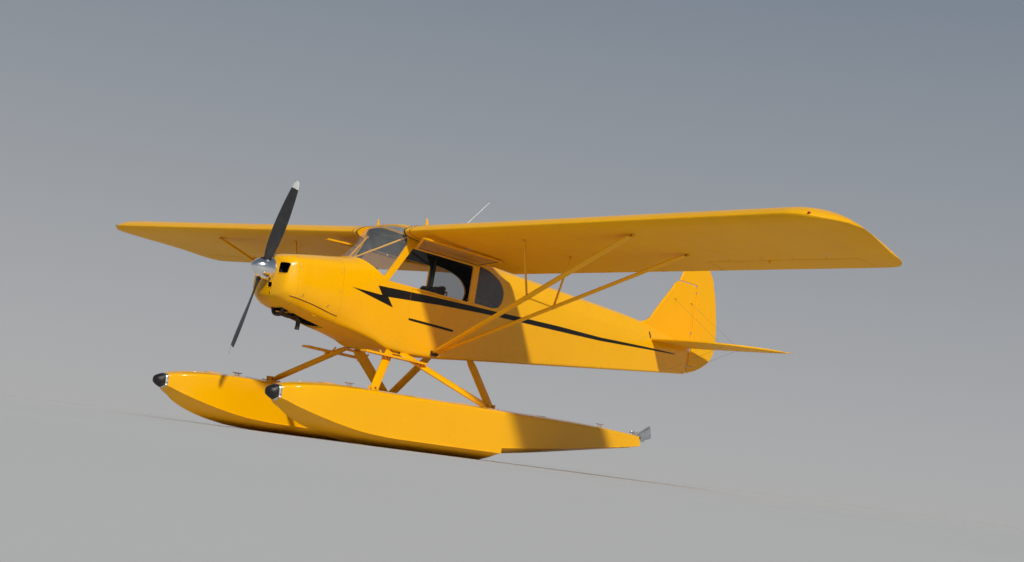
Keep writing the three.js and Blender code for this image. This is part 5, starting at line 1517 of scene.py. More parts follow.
# one table for the deck line through the step, so that deck and sides run on over it
fore = hull_grid(HULL, stationed(HULL, 34))
ys_aft = stationed(AFTER, 42)
aft = hull_grid(AFTER, ys_aft)
hull = Build().grid(fore, cap0=True, cap1=True)
lead = hull_grid([(880, 62, 313, 152, 310, DECK)] + AFTER, [880])
aftb = Build().grid(np.concatenate([lead, aft]), cap0=True, cap1=True)
hull_obj = raw(hull, "hull_fore", 0.02)
boolean(hull_obj, [raw(aftb, "hull_aft", 0.02)], "UNION")
FL = FLOOR @ Matrix.Translation((FLOAT_X, 0, 0))
_hb = Build().grid(np.concatenate([fore, aft[1:]]))
HULL_TREE = BVHTree.FromPolygons([Vector(p) for p in _hb.v], _hb.f)
pair("float_hull", hull_obj, ["float"], m=FL, nodes="float", sharp=24)


def on_deck(x, y, out=0.0):
    h = HULL_TREE.ray_cast(Vector((x, y, 900)), Vector((0, 0, -1)))
    return (np.array(h[0] + Vector((0, 0, out))), np.array((0, 0, 1.0))) if h[0] is not None else (np.array((x, y, 505.0)), np.array((0, 0, 1.0)))


def on_hull_side(y, z, s=1, out=0.0):
    h = HULL_TREE.ray_cast(Vector((s * 900, y, z)), Vector((-s, 0, 0)))
    return None if h[0] is None else np.array(h[0]) + np.array((s * out, 0, 0))


# bow bumper: a moulded black block with a silver plate behind it
ys_b = [-1786, -1784.5, -1781, -1776, -1769, -1760, -1750, -1738, -1724, -1712, -1706]
P = hull_grid(BUMP, ys_b)
for i, y in enumerate(ys_b):                 # rounder towards the front
    k = min(1.0, (-1706 - y) / 45.0) * 0.75
    q = P[i][:, [0, 2]]
    c = (q.max(0) + q.min(0)) / 2
    h = (q.max(0) - q.min(0)) / 2
    a = np.arctan2((q[:, 1] - c[1]) / h[1], (q[:, 0] - c[0]) / h[0])
    P[i][:, 0] = q[:, 0] * (1 - k) + k * (c[0] + h[0] * np.cos(a))
    P[i][:, 2] = q[:, 1] * (1 - k) + k * (c[1] + h[1] * np.sin(a))
c = P[0].mean(0)
first = [c + (P[0] - c) * k + np.array((0, -dy, 0)) for k, dy in ((0.25, 5.5), (0.62, 4.5), (0.86, 2.6))]
P = np.array(first + list(P))
b = Build().grid(P, cap0=True, cap1=True)
o = raw(b, "bumper", 0.02)
pair("bow_bumper_block", o, ["rubber"], m=FL, nodes="bow_bumper", sharp=40)

b = Build()
# silver plate wrapped behind each bumper
T = hull_grid(HULL, [-1703.5, -1701, -1684, -1681])
c = T.mean(1, keepdims=True)
G = []
for i, k in enumerate((0.2, 1.6, 1.6, 0.2)):
    r2 = inset(T[i][:, [0, 2]], -k)
    G.append(np.stack([r2[:, 0], T[i][:, 1], r2[:, 1]], 1))
for i in (3, 0):
    r2 = inset(T[i][:, [0, 2]], 1.5)
    G.append(np.stack([r2[:, 0], T[i][:, 1], r2[:, 1]], 1))
G = np.array(G)
Rr, N = G.shape[:2]
faces = [(r * N + i, r * N + (i + 1) % N, ((r + 1) % Rr) * N + (i + 1) % N, ((r + 1) % Rr) * N + i) for r in range(Rr) for i in range(N)]
b.add(G.reshape(-1, 3), faces, 0)
for z in (352, 392, 424):
    for s in (1, -1):
        q = on_hull_side(-1692, z, s, 1.4)
        if q is not None:
            b.screw(q, (s, 0, 0), 4.5, 1.8, 1)
# chine wear strips
kp = [(0, y, float(np.interp(y, [r[0] for r in HULL], [r[1] for r in HULL]))) for y in range(-1560, 900, 40)]
for s in (1, -1):
    line = []
    for y in stationed(HULL, 40):
        v = pchip([r[0] for r in HULL], np.array([r[1:] for r in HULL], float), [y])[0]
        line.append((s * (v[1] + 2.0), y, v[2] - 6.0))
    b.tube(line, 3.2, 8, 2, wide=4.5)
    line = []
    for y in ys_aft:
        v = pchip([r[0] for r in AFTER], np.array([r[1:] for r in AFTER], float), [y])[0]
        line.append((s * (v[1] + 2.0), y, v[2] - 6.0))
    b.tube(line, 3.0, 8, 2, wide=4.0)
# deck hatches, pump-out caps, cleats, and rivets down the sides
for y in (-1120, 560, 1680):
    q, n = on_deck(0, y, 0)
    r = 72
    b.lathe([(r + 10, -3), (r + 10, 1.2), (r + 7, 2), (r + 1, 2), (r, 1.0), (r - 3, 2.4), (r - 22, 3.0), (0.1, 3.2)], q, n, 40, 2)
    for k in range(8):
        a = 2 * math.pi * k / 8
        b.screw(q + np.array((math.cos(a) * (r + 5), math.sin(a) * (r + 5), 1)), n, 3.4, 1.4, 1)
for y in (-1380, -740, 100, 1240, 2060, 2750):
    q, n = on_deck(-70 if y < 2000 else -40, y, 0)
    b.lathe([(15, -2), (15, 1), (11, 2), (10, 3.4), (0.1, 3.6)], q, n, 20, 3)
for y in (-845, 2560):
    x = -20 if y < 0 else 60
    q, n = on_deck(x, y, 0)
    b.box((q[0] - 12, q[1] - 34, q[2] - 2), (q[0] + 12, q[1] + 34, q[2] + 4), 0, 1.5)
    for k in (-18, 18):
        b.tube([(q[0], q[1] + k, q[2] + 2), (q[0], q[1] + k * 0.9, q[2] + 22)], 6, 12, 0)
    b.tube([(q[0], q[1] - 60, q[2] + 27), (q[0], q[1] - 40, q[2] + 25), (q[0], q[1], q[2] + 24), (q[0], q[1] + 40, q[2] + 25), (q[0], q[1] + 60, q[2] + 27)], 5.5, 12, 0,
           taper=[0.55, 0.95, 1.15, 0.95, 0.55])
rv = Build()
for y in (-1450, -1120, -760, -417, -60, 420, 900, 1143, 1600, 2100, 2600):
    for s in (1, -1):
        for k in range(14):
            z = 150 + k * 24
            lo = float(np.interp(y, [r[0] for r in HULL[:-1]] + [r[0] for r in AFTER], [r[3] for r in HULL[:-1]] + [r[3] for r in AFTER]))
            if z < lo + 16 or z > 470:
                continue
            q = on_hull_side(y, z, s, -0.2)
            if q is not None:
                rv.lathe([(0.1, -0.6), (2.6, -0.6), (2.2, 0.3), (1.2, 0.7), (0.1, 0.8)], q, (s, 0, 0), 8, 0)
b.join(rv, [2])
# transom plate with the rudder post's lugs
b.box((-26, 3132, 358), (26, 3212, 372), 0, 2)
b.box((-26, 3132, 392), (26, 3212, 406), 0, 2)
b.box((-92, 3139, 362), (92, 3145, 452), 0, 2)
for x in (-80, 80):
    for z in (374, 440):
        b.screw((x, 3145, z), (0, 1, 0), 5, 2, 1)
pair("float_fittings", b, ["satin", "bolt", "float", "white"], m=FL, sharp=40)

# ------------------------------------------------------------------ water rudders
WRY = 3186
b = Build()
b.tube([(0, WRY, 352), (0, WRY, 520)], 12.5, 24, 0)
b.lathe([(16, 0), (18, 1), (18, 6), (16, 7)], (0, WRY, 408), (0, 0, 1), 24, 0)
b.lathe([(13, 0), (16, 1), (16, 5), (10, 9), (0.1, 9)], (0, WRY, 516), (0, 0, 1), 24, 0)
b.prism(round_poly([(WRY - 6, 424), (WRY + 190, 424), (WRY + 190, 500), (WRY - 6, 500)], 12), "x", -6.5, -3.6)
b.prism(round_poly([(WRY - 6, 424), (WRY + 190, 424), (WRY + 190, 500), (WRY - 6, 500)], 12), "x", 3.6, 6.5)
blade = round_poly([(WRY + 70, 410), (WRY + 292, 472), (WRY + 300, 486), (WRY + 264, 608), (WRY + 248, 612), (WRY + 60, 504), (WRY + 56, 488)], 14, 5)
b.prism(blade, "x", -3, 3)
for off in (8, 20):
    b.prism(inset(blade, off), "x", -3 - (1.0 if off == 8 else 1.8), 3 + (1.0 if off == 8 else 1.8))
b.hexbolt((6.5, WRY + 110, 462), (1, 0, 0), 9, 7, 1)
b.hexbolt((-6.5, WRY + 110, 462), (-1, 0, 0), 9, 7, 1)
b.prism(round_poly([(-60, WRY - 11), (60, WRY - 11), (60, WRY + 11), (-60, WRY + 11)], 10), "z", 506, 512)
for s in (1, -1):
    b.hexbolt((s * 48, WRY, 512), (0, 0, 1), 5, 6, 1)
    b.tube(bend([(s * 48, WRY, 522), (s * 48, WRY + 12, 524), (s * 40, WRY + 20, 522)], 3), 2.2, 8, 0)
pair("water_rudder_assembly", b, ["satin", "bolt"], ("left_water_rudder", "right_water_rudder"), m=FL, nodes="water_rudder", sharp=38)

# ------------------------------------------------------------------ float struts, spreaders and planks
def to_floor(p):
    q = Matrix.Rotation(-PITCH, 4, "X") @ Vector(p)
    return np.array((q.x, q.y, q.z + 2110))


FOOT_F, FOOT_R = np.array((820, to_floor((820, -417, -1593))[1], DECK + 20)), np.array((820, to_floor((820, 1143, -1566))[1], DECK + 20))
LUG_F, LUG_D, LUG_R = to_floor((330, 115, -1138)), to_floor((330, 225, -1134)), to_floor((318, 1212, -1042))
b = Build()
for top, foot, wide, thin in ((LUG_F, FOOT_F, 88, 38), (LUG_D, FOOT_R, 108, 40), (LUG_R, FOOT_R, 116, 42)):
    d = (foot - top) / np.linalg.norm(foot - top)
    b.strut(top + d * 24, foot - d * 26, wide, thin, 0, 28, 74)
    # bolt heads either side of both ends
    for p, dd in ((top, d), (foot, -d)):
        c = p + dd * (30 if p is top else 34)
        b.hexbolt(c + np.array((0, -thin * 0.5 - 3, 0)), (0, -1, 0), 8, 7, 2)
        b.hexbolt(c + np.array((0, thin * 0.5 + 3, 0)), (0, 1, 0), 8, 7, 2)
for x, y, _ in (FOOT_F, FOOT_R):
    q, _n = on_deck(x - FLOAT_X, y)
    z = max(DECK + 12, q[2] + 2)
    b.box((x - 58, y - 84, z - 14), (x + 58, y + 84, z + 4), 1, 4)
    b.box((x - 24, y - 46, z), (x - 14, y + 46, z + 44), 1, 4)
    b.box((x + 14, y - 46, z), (x + 24, y + 46, z + 44), 1, 4)
    for dx in (-44, 44):
        for dy in (-66, 0, 66):
            b.hexbolt((x + dx, y + dy, z + 4), (0, 0, 1), 7, 6, 2)
    b.lathe([(8, 0), (8, 62)], (x - 31, y, z + 26), (1, 0, 0), 20, 2)
# body lugs
for (x, y, z), w in ((LUG_F, 46), (LUG_D, 54), (LUG_R, 56)):
    b.box((x - 30, y - w / 2, z - 2), (x + 12, y + w / 2, z + 26), 2, 5)
    b.lathe([(10, 0), (10, w + 14)], (x - 8, y - w / 2 - 7, z - 2), (0, 1, 0), 18, 2)
    b.box((x - 34, y - w / 2 - 10, z + 20), (x + 4, y + w / 2 + 10, z + 34), 1, 4)
a, c = to_floor((322, 92, -1166)), to_floor((322, 250, -1166))
b.strut(a, c, 40, 26, 0, 20, aim=(1, 0, 0))
pair("float_strut_set", b, ["tube", "metal", "bolt"], m=FLOOR, nodes="float_struts", sharp=40)
for nm, y in (("front", FOOT_F[1]), ("rear", FOOT_R[1])):
    b = Build()
    e = FLOAT_X - 310 - 1.0
    b.strut((-e, y, 440), (e, y, 440), 70, 44, 0, 32)
    for s in (1, -1):
        b.box((s * e - 10 if s < 0 else e - 8, y - 52, 402) if s > 0 else (-e, y - 52, 402), (e, y + 52, 478) if s > 0 else (-e + 8, y + 52, 478), 1, 3)
        for dy in (-38, 38):
            for dz in (-26, 26):
                b.hexbolt((s * (e - 9), y + dy, 440 + dz), (-s, 0, 0), 6, 5, 2)
    make(f"spreader_{nm}", b, ["tube", "metal", "bolt"], m=FLOOR, nodes=(f"spreader_bar_{nm}",), sharp=40)
b = Build()
PL = dict(x=470, y0=-335, y1=470, z=-1200)
deck = round_poly([(PL["x"] - 55, PL["y0"]), (PL["x"] + 55, PL["y0"]), (PL["x"] + 55, PL["y1"]), (PL["x"] - 55, PL["y1"])], 16, 5)
b.prism(deck, "z", PL["z"] - 22, PL["z"] - 2)
b.prism(inset(deck, 9), "z", PL["z"] - 3, PL["z"] - 0.4, 1)
for y in (-308, -35, 405, 444):
    for s in (1, -1):
        b.screw((PL["x"] + s * 40, y, PL["z"] - 1), (0, 0, 1), 5, 2.4, 2)
for y in (-35, 405):
    b.box((PL["x"] - 20, y - 24, PL["z"] - 46), (PL["x"] + 20, y + 24, PL["z"] - 20), 0, 5)
    b.tube([(PL["x"] - 50, y, PL["z"] - 30), (PL["x"] - 118, y + 4, PL["z"] + (34 if y < 0 else 36))], 9, 12, 0)
    b.hexbolt((PL["x"] + 20, y, PL["z"] - 34), (1, 0, 0), 6, 5, 2)
o = raw(b, "plank", 0.01)
pair("boarding_plank_board", o, ["tube", "rubber", "bolt"], nodes="boarding_plank", sharp=40)

# ------------------------------------------------------------------ doors
HX, HZ = 376.0, -78.0
OPEN = math.radians(97)
SWING = Matrix.Translation((HX, 0, HZ)) @ Matrix.Rotation(-OPEN, 4, "Y") @ Matrix.Translation((-HX, 0, -HZ))
door_out = [(-92, -487), (1052, -487), (1052, -86), (160, -86)]
outer_r = round_poly(door_out, [26, 34, 30, 30], 7)
inner_r = round_poly(inset(door_out, 38), [18, 26, 24, 20], 7)
b = Build()
mid_r = round_poly(inset(door_out, 13), [24, 30, 27, 27], 7)
mid3 = [np.array((369.0, y, z)) for y, z in resample(mid_r, 46)]
b.tube(mid3, 7.0, 12, 0, closed=True, wide=10.5)
in_r = round_poly(inset(door_out, 27), [20, 28, 25, 22], 7)
n = len(outer_r)


def ring_plate(build, o2, i2, x0, x1, mat):
    n = len(o2)
    vs = [(x0, *p) for p in o2] + [(x0, *p) for p in i2] + [(x1, *p) for p in o2] + [(x1, *p) for p in i2]
    fs = []
    for k in range(n):
        j = (k + 1) % n
        fs += [(k, j, n + j, n + k), (2 * n + k, 3 * n + k, 3 * n + j, 2 * n + j), (k, 2 * n + k, 2 * n + j, j), (n + k, n + j, 3 * n + j, 3 * n + k)]
    build.add(vs, fs, mat)


ring_plate(b, inset(outer_r, 1.0), inset(outer_r, 36), 362.5, 366, 0)
ring_plate(b, inset(outer_r, 20), inset(outer_r, 38), 371.5, 374.2, 1)
for k, p in enumerate(resample(round_poly(inset(door_out, 29), [20, 28, 25, 22], 5), 92)):
    b.screw((374, p[0], p[1]), (1, 0, 0), 3.6, 1.5, 2)
for y in (330, 840):
    b.box((368, y - 44, -104), (373, y + 44, -88), 2, 1)
    b.tube([(HX, y - 46, HZ), (HX, y + 46, HZ)], 5.2, 14, 2)
# latch handle and its plate at the lower edge
b.box((374, 480, -483), (378, 560, -463), 2, 2)
b.tube([(378, 520, -473), (392, 520, -473), (398, 530, -474), (398, 572, -478), (396, 586, -479)], 4.5, 12, 2)
pair("upper_door_frame", b, ["metal", "seam", "satin"], ("left_upper_door", "right_upper_door"), m=AIR @ SWING, nodes="upper_door", sharp=40)
pane = round_poly(inset(door_out, 33), [18, 26, 24, 20], 7)
P = []
for x, k in ((366.3, 0), (367.0, 0.0), (370.6, 0.0), (371.2, 0)):
    P.append([(x, y, z) for y, z in inset(pane, 0 if x in (367.0, 370.6) else 0.8)])
pair("upper_door_window", Build().grid(np.array(P), cap0=True, cap1=True), ["glass"], ("left_upper_door", "right_upper_door"), m=AIR @ SWING, nodes="upper_door_pane", sharp=50)

dy0, dy1, dz0, dz1 = DOOR["y0"] + DOOR["gap"], DOOR["y1"] - DOOR["gap"], DOOR["z0"] + DOOR["gap"], DOOR["z1"] - 4
ysd = stations(dy0 - 20, dy1 + 20, 22)
low = raw(Build().shell(body_grid(ysd, 0), body_grid(ysd, 18)), "lower_door_l")
boolean(low, [Build().prism(round_poly([(dy0, dz0), (dy1, dz0), (dy1, dz1), (dy0, dz1)], [18, 18, 4, 4], 5), "x", 5, 600)], "INTERSECT")
pair("lower_door_panel", low, ["metal", "liner"], ("left_lower_door", "right_lower_door"), nodes="lower_door", sharp=38)
b = Build()
# rolled top edge and inner stiffener
b.tube([on_side(y, dz1 - 1, 1, -9) for y in np.linspace(dy0 + 10, dy1 - 10, 16)], 8.0, 12, 1, wide=9.5)
for y in (dy0 + 60, dy1 - 60):
    b.box((336, y - 10, dz0 + 20), (340, y + 10, dz1 - 20), 1, 1.5)
b.tube([(331, dy0 + 40, dz0 + 110), (326, dy0 + 60, dz0 + 112), (326, dy1 - 60, dz0 + 112), (331, dy1 - 40, dz0 + 110)], 3.5, 10, 2)
pair("lower_door_trim", b, ["satin", "tube", "rubber"], ("left_lower_door", "right_lower_door"), sharp=40)
b = Build()
hy = [(262 + 618 * k / 14, -793.5 - 8 * k / 14) for k in range(15)]
hp = [on_side(y, z, 1, 0.6) for y, z in hy]
b.tube(hp, 3.0, 12, 0, wide=12.0, up=(1, 0, 0), taper=[0.85] + [1.0] * 13 + [0.85])
pair("lower_door_hinge_strip", b, ["black"], sharp=50)

# ------------------------------------------------------------------ painted stripe
UP = [(-187, -541), (50, -531), (210, -523.5), (410, -515.5), (770, -504.5), (1100, -495.5), (1430, -486.5), (1827, -470), (2500, -447), (3262, -436), (4000, -398), (4735, -366)]
LOW = [(4735, -378), (4000, -426), (3262, -475), (2500, -502), (1827, -523), (1372, -537.5), (1000, -557), (640, -576.5), (300, -602.5), (-43, -628.5)]
BAR = UP + LOW + [(-120, -624.5)]
WEDGE = [(-502, -620.5), (-120, -624.5), (-43, -628.5), (36, -721.5)]


def side_decal(polys, keep, name, mat, bodies, proud=0.7):
    """A painted area laid on the fuselage side: the polygon in (y, z), cut fine, dropped on the skin, 1 mm thick."""
    bm = bmesh.new()
    for poly in polys:
        bm.faces.new([bm.verts.new((0, y, z)) for y, z in poly])
    bmesh.ops.triangulate(bm, faces=bm.faces, ngon_method="EAR_CLIP")
    bmesh.ops.remove_doubles(bm, verts=bm.verts, dist=0.05)
    bmesh.ops.recalc_face_normals(bm, faces=bm.faces)
    ymin, ymax = min(v.co.y for v in bm.verts), max(v.co.y for v in bm.verts)
    cuts = [(y, (0, 1, 0)) for y in np.arange(ymin + 25, ymax, 45)] + [(y, (0, 1, 0)) for y in (239.8, 241.7, 898.3, 900.2)]
    for y, no in cuts:
        bmesh.ops.bisect_plane(bm, geom=bm.verts[:] + bm.edges[:] + bm.faces[:], plane_co=(0, y, 0), plane_no=no, dist=0.001)
    for z in list(np.arange(-740, -350, 22)):
        bmesh.ops.bisect_plane(bm, geom=bm.verts[:] + bm.edges[:] + bm.faces[:], plane_co=(0, 0, z), plane_no=(0, 0, 1), dist=0.001)
    kill = [f for f in bm.faces if not keep(f.calc_center_median().y, f.calc_center_median().z)]
    bmesh.ops.delete(bm, geom=kill, context="FACES")
    bmesh.ops.remove_doubles(bm, verts=bm.verts, dist=0.05)
    bm.verts.ensure_lookup_table()
    bm.verts.index_update()
    top, low = [], []
    for v in bm.verts:
        q = on_side(v.co.y, v.co.z, 1, 0)
        if q is None:
            q = np.array((0, v.co.y, v.co.z))
        top.append(q + np.array((proud, 0, 0)))
        low.append(q - np.array((0.5, 0, 0)))
    n = len(top)
    faces = [tuple(v.index for v in f.verts) for f in bm.faces]
    edges = [tuple(v.index for v in e.verts) for e in bm.edges if len(e.link_faces) == 1]
    bm.free()
    b = Build().add(top + low, faces + [tuple(n + i for i in f[::-1]) for f in faces] + [(a, c, n + c, n + a) for a, c in edges], 0)
    pair(name, b, [mat], bodies, sharp=50, weld=0.0)


side_decal([BAR, WEDGE], lambda y, z: not 239.8 < y < 900.2, "stripe_body", "black", "airframe")
side_decal([BAR], lambda y, z: 241.7 < y < 898.3, "stripe_door", "black", ("left_lower_door", "right_lower_door"))

# ------------------------------------------------------------------ cabin
def inner_x(y, z, gap=24):
    q = on_side(y, z, 1, 0)
    return 300.0 if q is None else float(q[0]) - gap


def inner_z(x, y, gap=24):
    h = SKIN.ray_cast(Vector((x, y, 900)), Vector((0, 0, -1)))
    return 100.0 if h[0] is None else h[0].z - gap


# floor board with its edge strips, heel plates and screws
fl = [(-60, -1040), (420, -1040), (900, -1040), (1230, -1003), (1560, -966)]
ysf = stations(-60, 1560, 60, (900,))
b = Build()
rows = []
for y in ysf:
    z = float(np.interp(y, [p[0] for p in fl], [p[1] for p in fl]))
    w = inner_x(y, z, 26)
    rows.append([(-w, y, z), (-w, y, z - 12), (w, y, z - 12), (w, y, z)])
b.grid(np.array(rows), 0, cap0=True, cap1=True)
for s in (1, -1):
    line = []
    for y in ysf:
        z = float(np.interp(y, [p[0] for p in fl], [p[1] for p in fl]))
        line.append((s * (inner_x(y, z, 36)), y, z + 1))
    b.tube(line, 3.5, 8, 1, wide=7)
    for y in (-30, 90, 700):
        b.box((s * 150 - 70, y, -1041), (s * 150 + 70, y + 70, -1037.5), 2, 1)
        for dx in (-58, 58):
            b.screw((s * 150 + dx, y + 35, -1037.5), (0, 0, 1), 5, 1.5, 2)
make("floor_board", b, ["floor", "dark", "satin"], nodes=("cabin_floor",), sharp=40)

# instrument panel: plate, bezels, faces with ticks and pointers, switches, knobs
b = Build()
ring = body_ring(-190, 26)[:, [0, 2]]
plate = raw(Build().prism(ring, "y", -196, -184), "panel")
boolean(plate, [Build().box((-420, -300, -720), (420, -100, -372), 0, 14)], "INTERSECT")
dials = [(-232, -436, 29), (-154, -436, 40), (-58, -436, 40), (38, -436, 40), (134, -436, 40), (222, -436, 29),
         (-232, -512, 29), (-154, -532, 40), (-58, -532, 40), (38, -532, 40), (134, -532, 40), (222, -512, 29)]
for k, (x, z, r) in enumerate(dials):
    b.lathe([(r + 4, -1), (r + 4, 4), (r + 2, 7), (r - 1, 7), (r - 2, 3)], (x, -184.5, z), (0, 1, 0), 40, 0)
    b.lathe([(0.1, 0), (r - 1, 0), (r - 1, 1.6), (0.1, 1.6)], (x, -184.5, z), (0, 1, 0), 40, 1)
    n = 12 if r > 35 else 8
    for j in range(n + 1):
        a = math.radians(225 - 270 * j / n)
        c, s = math.cos(a), math.sin(a)
        p0, p1 = np.array((x + c * (r - 9), -182.6, z + s * (r - 9))), np.array((x + c * (r - 4), -182.6, z + s * (r - 4)))
        b.tube([p0, p1], 0.7, 4, 2)
    a = math.radians(225 - 270 * ((k * 0.37) % 1.0))
    b.tube([(x - math.cos(a) * 6, -181.6, z - math.sin(a) * 6), (x + math.cos(a) * (r - 11), -181.6, z + math.sin(a) * (r - 11))], 1.0, 6, 2, taper=[1.4, 0.5])
    b.lathe([(0.1, 0), (3, 0), (3, 2.2), (0.1, 2.4)], (x, -183, z), (0, 1, 0), 14, 0)
for k in range(7):
    x = -210 + 42 * k
    b.lathe([(0.1, 0), (7, 0), (7, 3), (3.4, 4), (3, 9), (2.4, 18), (0.1, 18.5)], (x, -184.5, -626), (0, 1, 0.15), 14, 3)
b.box((70, -190, -612), (238, -178, -574), 0, 3)
b.box((82, -178.5, -604), (170, -176.5, -582), 4, 0.8)
for x in (188, 220):
    b.lathe([(0.1, 0), (9, 0), (9, 10), (7, 12), (0.1, 12)], (x, -178, -593), (0, 1, 0), 20, 0)
for x, z, mt in ((110, -656, 5), (150, -656, 0), (190, -656, 5)):
    b.tube([(x, -184, z), (x, -150, z)], 3, 10, 3)
    b.lathe([(0.1, 0), (10, 1), (12, 6), (10, 14), (0.1, 15)], (x, -154, z), (0, 1, 0), 20, mt)
for x in (-270, 270, -100, 100, 0):
    for z in (-392, -700):
        b.screw((x, -184, z), (0, 1, 0), 4, 1.6, 3)
obj = raw(b, "panel_details", 0.0)
place(plate, ["dark"], "airframe", sharp=40, nodes=("instrument_panel",), name="panel_plate")
place(obj, ["rubber", "black", "dial", "satin", "smoke", "red_lens"], "airframe", sharp=40, name="panel_dials_and_switches")

# glare shield from the panel's top to the foot of the windshield
b = Build()
ysg = np.linspace(-186, -520, 14)
us = np.linspace(-1, 1, 21)
T = []
for y in ysg:
    row = []
    half = min(318.0, inner_x(y, -352 + min(40, (-186 - y) * 0.12), 36), 318.0 - 0.55 * max(0.0, -330 - y))
    for u in us:
        x = u * half
        z = -368 + min(40, (-186 - y) * 0.12) + 26 * (1 - u * u)
        row.append((x, y, min(z, inner_z(x, y, 27) if abs(x) < 300 else z - 20)))
    T.append(row)
T = np.array(T)
G = np.concatenate([T, (T - np.array((0, 0, 5)))[:, ::-1]], axis=1)
b.grid(G, 0, cap0=False, cap1=False)
n = len(us)
N = 2 * n
for r in (0, len(ysg) - 1):
    for i in range(n - 1):
        f = (r * N + i, r * N + i + 1, r * N + N - 2 - i, r * N + N - 1 - i)
        b.f.append(f if r else f[::-1])
        b.m.append(0)
b.tube([p + np.array((0, 4, -2)) for p in T[0]], 7, 12, 1)
make("glare_shield", b, ["dark", "rubber"], sharp=50)

# welded tubes of the cabin frame, wing carry-through tubes, rear cabin wall
b = Build()
for s in (1, -1):
    sill = [(s * min(326, inner_x(y, -478, 34)), y, -478) for y in (-570, -430, -260, -70, 200, 560, 900, 1060)]
    b.tube(sill, 11, 14, 0)
    b.tube([(s * 318, 1076, -1000), (s * 322, 1076, -478), (s * 318, 1076, -60), (s * 300, 1076, 60)], 10, 14, 0)
    b.tube([(s * 308, -66, -1024), (s * 318, -66, -478)], 10, 14, 0)
    b.tube([(s * 322, 1076, -478), (s * 290, 1560, -930)], 9, 12, 0)
    fx, fz = inner_x(-560, -940, 36), inner_x(-80, -1000, 36)
    b.tube([(s * fx, -560, -940), (s * fz, -80, -1000)], 10, 12, 0)
    b.tube([(s * fx, -560, -940), (s * 318, -80, -500)], 8, 12, 0)
    b.tube([(s * 318, 130, 96), (s * 318, 1076, 56)], 10, 12, 0)
    b.tube([(s * 318, 560, 74), (s * 120, 1076, 62)], 7, 10, 0)
b.tube([(-345, 262, 62), (345, 262, 62)], 17, 20, 0)
b.tube([(-345, 985, 26), (345, 985, 26)], 15, 20, 0)
b.tube([(-318, 1076, 56), (318, 1076, 56)], 9, 12, 0)
b.tube([(-322, 1076, -478), (322, 1076, -478)], 8, 12, 0)
make("cabin_frame_tubes", b, ["frame"], sharp=50)
b = Build()
b.prism(body_ring(1604, 23)[:, [0, 2]], "y", 1598, 1604)
for x in (-120, 0, 120):
    b.tube([(x, 1596.5, -900), (x, 1596.5, -120)], 3, 8, 1)
make("rear_cabin_wall", b, ["liner", "welt"], sharp=40)

# windshield brace tubes
b = Build()
for s in (1, -1):
    a, c = np.array((0.0, -368, -330)), np.array((s * 322.0, 110, 20))
    d = (c - a) / np.linalg.norm(c - a)
    b.tube([a + d * 6, a + d * 34, a + d * 60, c - d * 60, c - d * 34, c - d * 4], 9, 18, 0, wide=9, taper=[0.75, 0.8, 1, 1, 0.8, 0.75])
    b.box(tuple(c - np.array((7, 12, 10))), tuple(c + np.array((7, 12, 10))), 1, 2)
    b.hexbolt(c + np.array((-s * 7, 0, 0)), (-s, 0, 0), 5, 4, 2)
b.box((-26, -382, -338), (26, -352, -326), 1, 3)
for x in (-16, 16):
    b.hexbolt((x, -367, -326), (0, 0, 1), 4.5, 4, 2)
make("windshield_brace_tubes", b, ["tube", "metal", "bolt"], nodes=("windshield_brace",), sharp=45)

# control sticks, torque tube, pedals
b = Build()
b.tube([(0, 150, -1028), (0, 900, -1028)], 13, 20, 0)
for y in (160, 530, 890):
    b.box((-17, y - 12, -1041), (17, y + 12, -1018), 0, 3)
for pts, g in (([(0, 180, -1026), (0, 178, -985), (0, 160, -860), (0, 140, -730), (0, 131, -648)], 0), ([(0, 898, -1026), (0, 897, -960), (0, 892, -820), (0, 888, -708)], 0)):
    p = cardinal(np.array(pts, float), even(5, len(pts) - 1))
    b.tube(p, 9, 16, 0)
    e = p[-1]
    d = (p[-1] - p[-4]) / np.linalg.norm(p[-1] - p[-4])
    b.tube([e - d * 92, e - d * 88, e - d * 60, e - d * 30, e - d * 2, e + d * 5, e + d * 8], 13, 18, 1, taper=[0.8, 1, 0.93, 1.04, 1, 0.8, 0.3])
    b.lathe([(12, 0), (16, 3), (21, 30), (12, 46)], (p[0][0], p[0][1], p[0][2] + 8), (0, -0.05, 1), 20, 2)
make("control_stick_set", b, ["steel", "rubber", "welt"], nodes=("control_sticks",), sharp=45)
b = Build()
for s in (1, -1):
    for x in (s * 105, ):
        b.tube([(x - 48, -150, -900), (x + 48, -150, -900)], 8, 14, 0)
        for e in (-48, 48):
            b.tube([(x + e, -150, -900), (x + e, -160, -1036)], 6, 12, 0)
        b.tube([(x - 40, 566, -940), (x + 40, 566, -940)], 7, 12, 0)
make("rudder_pedals", b, ["steel"], sharp=45)

# antenna
b = Build()
a, c = np.array((0.0, 905, 132)), np.array((0.0, 1426, 696))
d = (c - a) / np.linalg.norm(c - a)
b.lathe([(0.1, 96), (21, 96), (21, 124), (19, 130), (12, 137), (9, 142), (0.1, 143)], (0, 905, 0), (0, 0, 1), 28, 0)
b.tube([a + d * 2, a + d * 14, a + d * 30], 7, 16, 1, taper=[1, 1, 0.75])
b.tube([a + d * 20, a + d * 160, a + d * 420, a + d * 690, c - d * 6, c - d * 5, c], 3.9, 14, 0, taper=[1, 0.95, 0.85, 0.75, 0.7, 1.1, 0.9])
for k in range(4):
    w = math.pi / 4 + k * math.pi / 2
    b.screw((14.5 * math.cos(w), 905 + 14.5 * math.sin(w), 133), (0, 0, 1), 2.4, 1.2, 1)
make("whip_antenna", b, ["white", "satin"], nodes=("antenna",), sharp=45)


